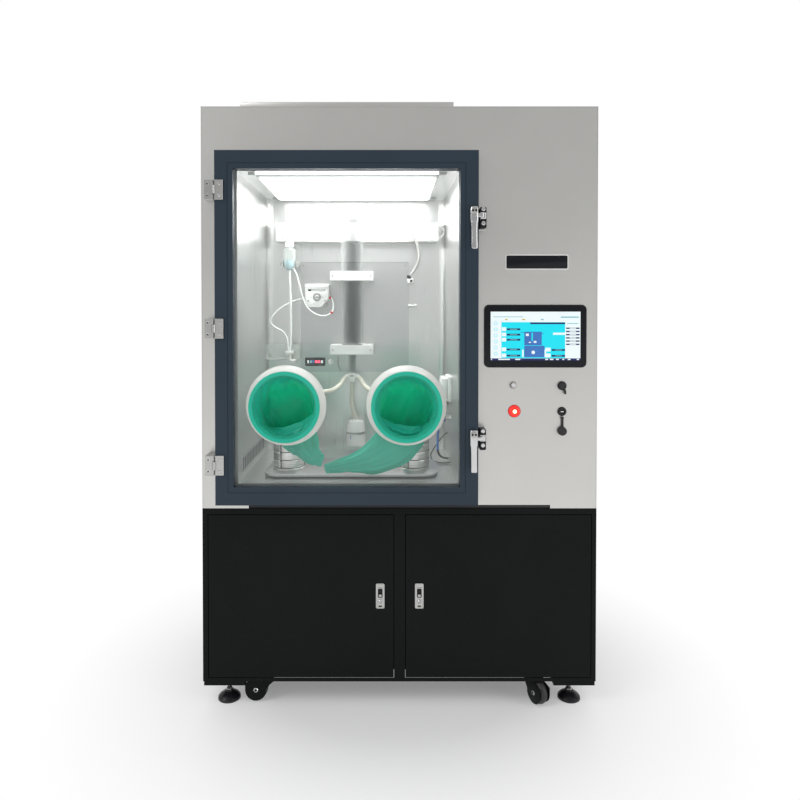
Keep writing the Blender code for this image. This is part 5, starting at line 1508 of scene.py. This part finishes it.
def glove(side, seed):
    """One sleeve: its cuff is stretched over the ring's rim and its end lies by the tray."""
    low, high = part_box(f"port_ring_{side}")
    centre = ((low.x + high.x) / 2, PANE_LOW.y, (low.z + high.z) / 2)
    rows = sleeve_rows(side, seed)
    shape = loft(rows, False)
    tip = [vert for vert in shape.verts if vert.is_boundary and vert.co.y > 0]
    tip_edges = [edge for edge in shape.edges if edge.is_boundary and all(v in tip for v in edge.verts)]
    bmesh.ops.holes_fill(shape, edges=tip_edges)
    bmesh.ops.recalc_face_normals(shape, faces=shape.faces)
    bmesh.ops.translate(shape, verts=shape.verts, vec=centre)
    mesh = bpy.data.meshes.new(f"sleeve_{side}")
    shape.to_mesh(mesh)
    shape.free()
    made = bpy.data.objects.new(f"sleeve_{side}", mesh)
    bpy.context.scene.collection.objects.link(made)
    points = drape(made, len(CUFF) + 3, 14, len(rows))
    points = keep_clear(points, centre)
    mesh.vertices.foreach_set("co", points.astype(np.float32).reshape(-1))
    mesh.update()
    finer = made.modifiers.new("finer", "SUBSURF")
    finer.levels = finer.render_levels = 1
    film = made.modifiers.new("film", "SOLIDIFY")
    film.thickness = 0.0006
    film.offset = 0
    applied = bpy.data.meshes.new_from_object(made.evaluated_get(bpy.context.evaluated_depsgraph_get()))
    made.modifiers.clear()
    made.data = applied
    applied.name = made.name
    applied.materials.clear()
    applied.materials.append(COATS["glove"])
    applied.shade_smooth()
    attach(made, "chamber_door")
    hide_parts(f"glove_{side}")


door_details()
latches()
port_rings()
glove("left", 3)
glove("right", 7)


# ---- studio -------------------------------------------------------------------------------
def studio():
    """A pale floor that fades into a pale world, two soft boxes, and the chamber's own light."""
    floor = bpy.data.meshes.new("floor")
    reach = 30.0
    floor.from_pydata([(-reach, -reach, 0), (reach, -reach, 0), (reach, reach, 0), (-reach, reach, 0)],
                      [], [(0, 1, 2, 3)])
    ground = bpy.data.objects.new("floor", floor)
    bpy.context.scene.collection.objects.link(ground)
    material = surface("studio_floor", (0.86, 0.86, 0.86), 0.55, shade=0.01, patch=1.5, fine=40,
                       bump=0.01)
    tree = material.node_tree
    where = node(tree, "ShaderNodeTexCoord").outputs["Object"]
    away = node(tree, "ShaderNodeVectorMath", operation="LENGTH")
    tree.links.new(where, away.inputs[0])
    fade = node(tree, "ShaderNodeMapRange")
    for socket, value in zip(fade.inputs[1:5], (0.45, 1.1, 0.22, 1.0)):
        socket.default_value = value
    tree.links.new(away.outputs["Value"], fade.inputs[0])
    light = node(tree, "ShaderNodeEmission", Strength=1.0)
    light.inputs["Color"].default_value = (1, 1, 1, 1)
    both = node(tree, "ShaderNodeMixShader")
    tree.links.new(fade.outputs[0], both.inputs[0])
    tree.links.new(tree.nodes["Principled BSDF"].outputs[0], both.inputs[1])
    tree.links.new(light.outputs[0], both.inputs[2])
    tree.links.new(both.outputs[0], tree.nodes["Material Output"].inputs["Surface"])
    floor.materials.append(material)

    world = bpy.data.worlds.new("studio")
    bpy.context.scene.world = world
    world.use_nodes = True
    tree = world.node_tree
    sky = tree.nodes["Background"]
    where = node(tree, "ShaderNodeTexCoord").outputs["Generated"]
    split = node(tree, "ShaderNodeSeparateXYZ")
    tree.links.new(where, split.inputs[0])
    behind = node(tree, "ShaderNodeMapRange", interpolation_type="SMOOTHSTEP")
    for socket, value in zip(behind.inputs[1:5], (-0.25, 0.35, 0.0, 1.0)):
        socket.default_value = value
    tree.links.new(split.outputs["Y"], behind.inputs[0])
    height = node(tree, "ShaderNodeMapRange", interpolation_type="SMOOTHSTEP")
    for socket, value in zip(height.inputs[1:5], (-0.15, 0.75, 0.42, 0.64)):
        socket.default_value = value
    tree.links.new(split.outputs["Z"], height.inputs[0])
    tone = node(tree, "ShaderNodeMix", data_type="RGBA")
    tone.inputs[7].default_value = (1, 1, 1, 1)
    tree.links.new(height.outputs[0], tone.inputs[6])
    tree.links.new(behind.outputs[0], tone.inputs[0])
    tree.links.new(tone.outputs[2], sky.inputs["Color"])
    sky.inputs["Strength"].default_value = 1.0

    def soft_box(name, at, towards, size, power):
        lamp = bpy.data.lights.new(name, "AREA")
        lamp.shape = "RECTANGLE"
        lamp.size, lamp.size_y = size
        lamp.energy = power
        box = bpy.data.objects.new(name, lamp)
        box.location = at
        box.rotation_euler = (Vector(towards) - Vector(at)).to_track_quat("-Z", "Y").to_euler()
        bpy.context.scene.collection.objects.link(box)

    soft_box("key_light", (-4.6, -3.2, 4.2), (0, 0, 0.9), (2.6, 2.6), 120)
    soft_box("fill_light", (4.0, -2.6, 1.9), (0, 0, 0.9), (1.6, 2.6), 40)
    centre_x = (CHAMBER_LOW.x + CHAMBER_HIGH.x) / 2
    soft_box("chamber_light", (centre_x, FRONT + 0.27, CEILING - 0.018), (centre_x, FRONT + 0.27, 0),
             (0.5, 0.33), 3.2)
    bpy.context.scene.view_settings.view_transform = "Standard"


studio()
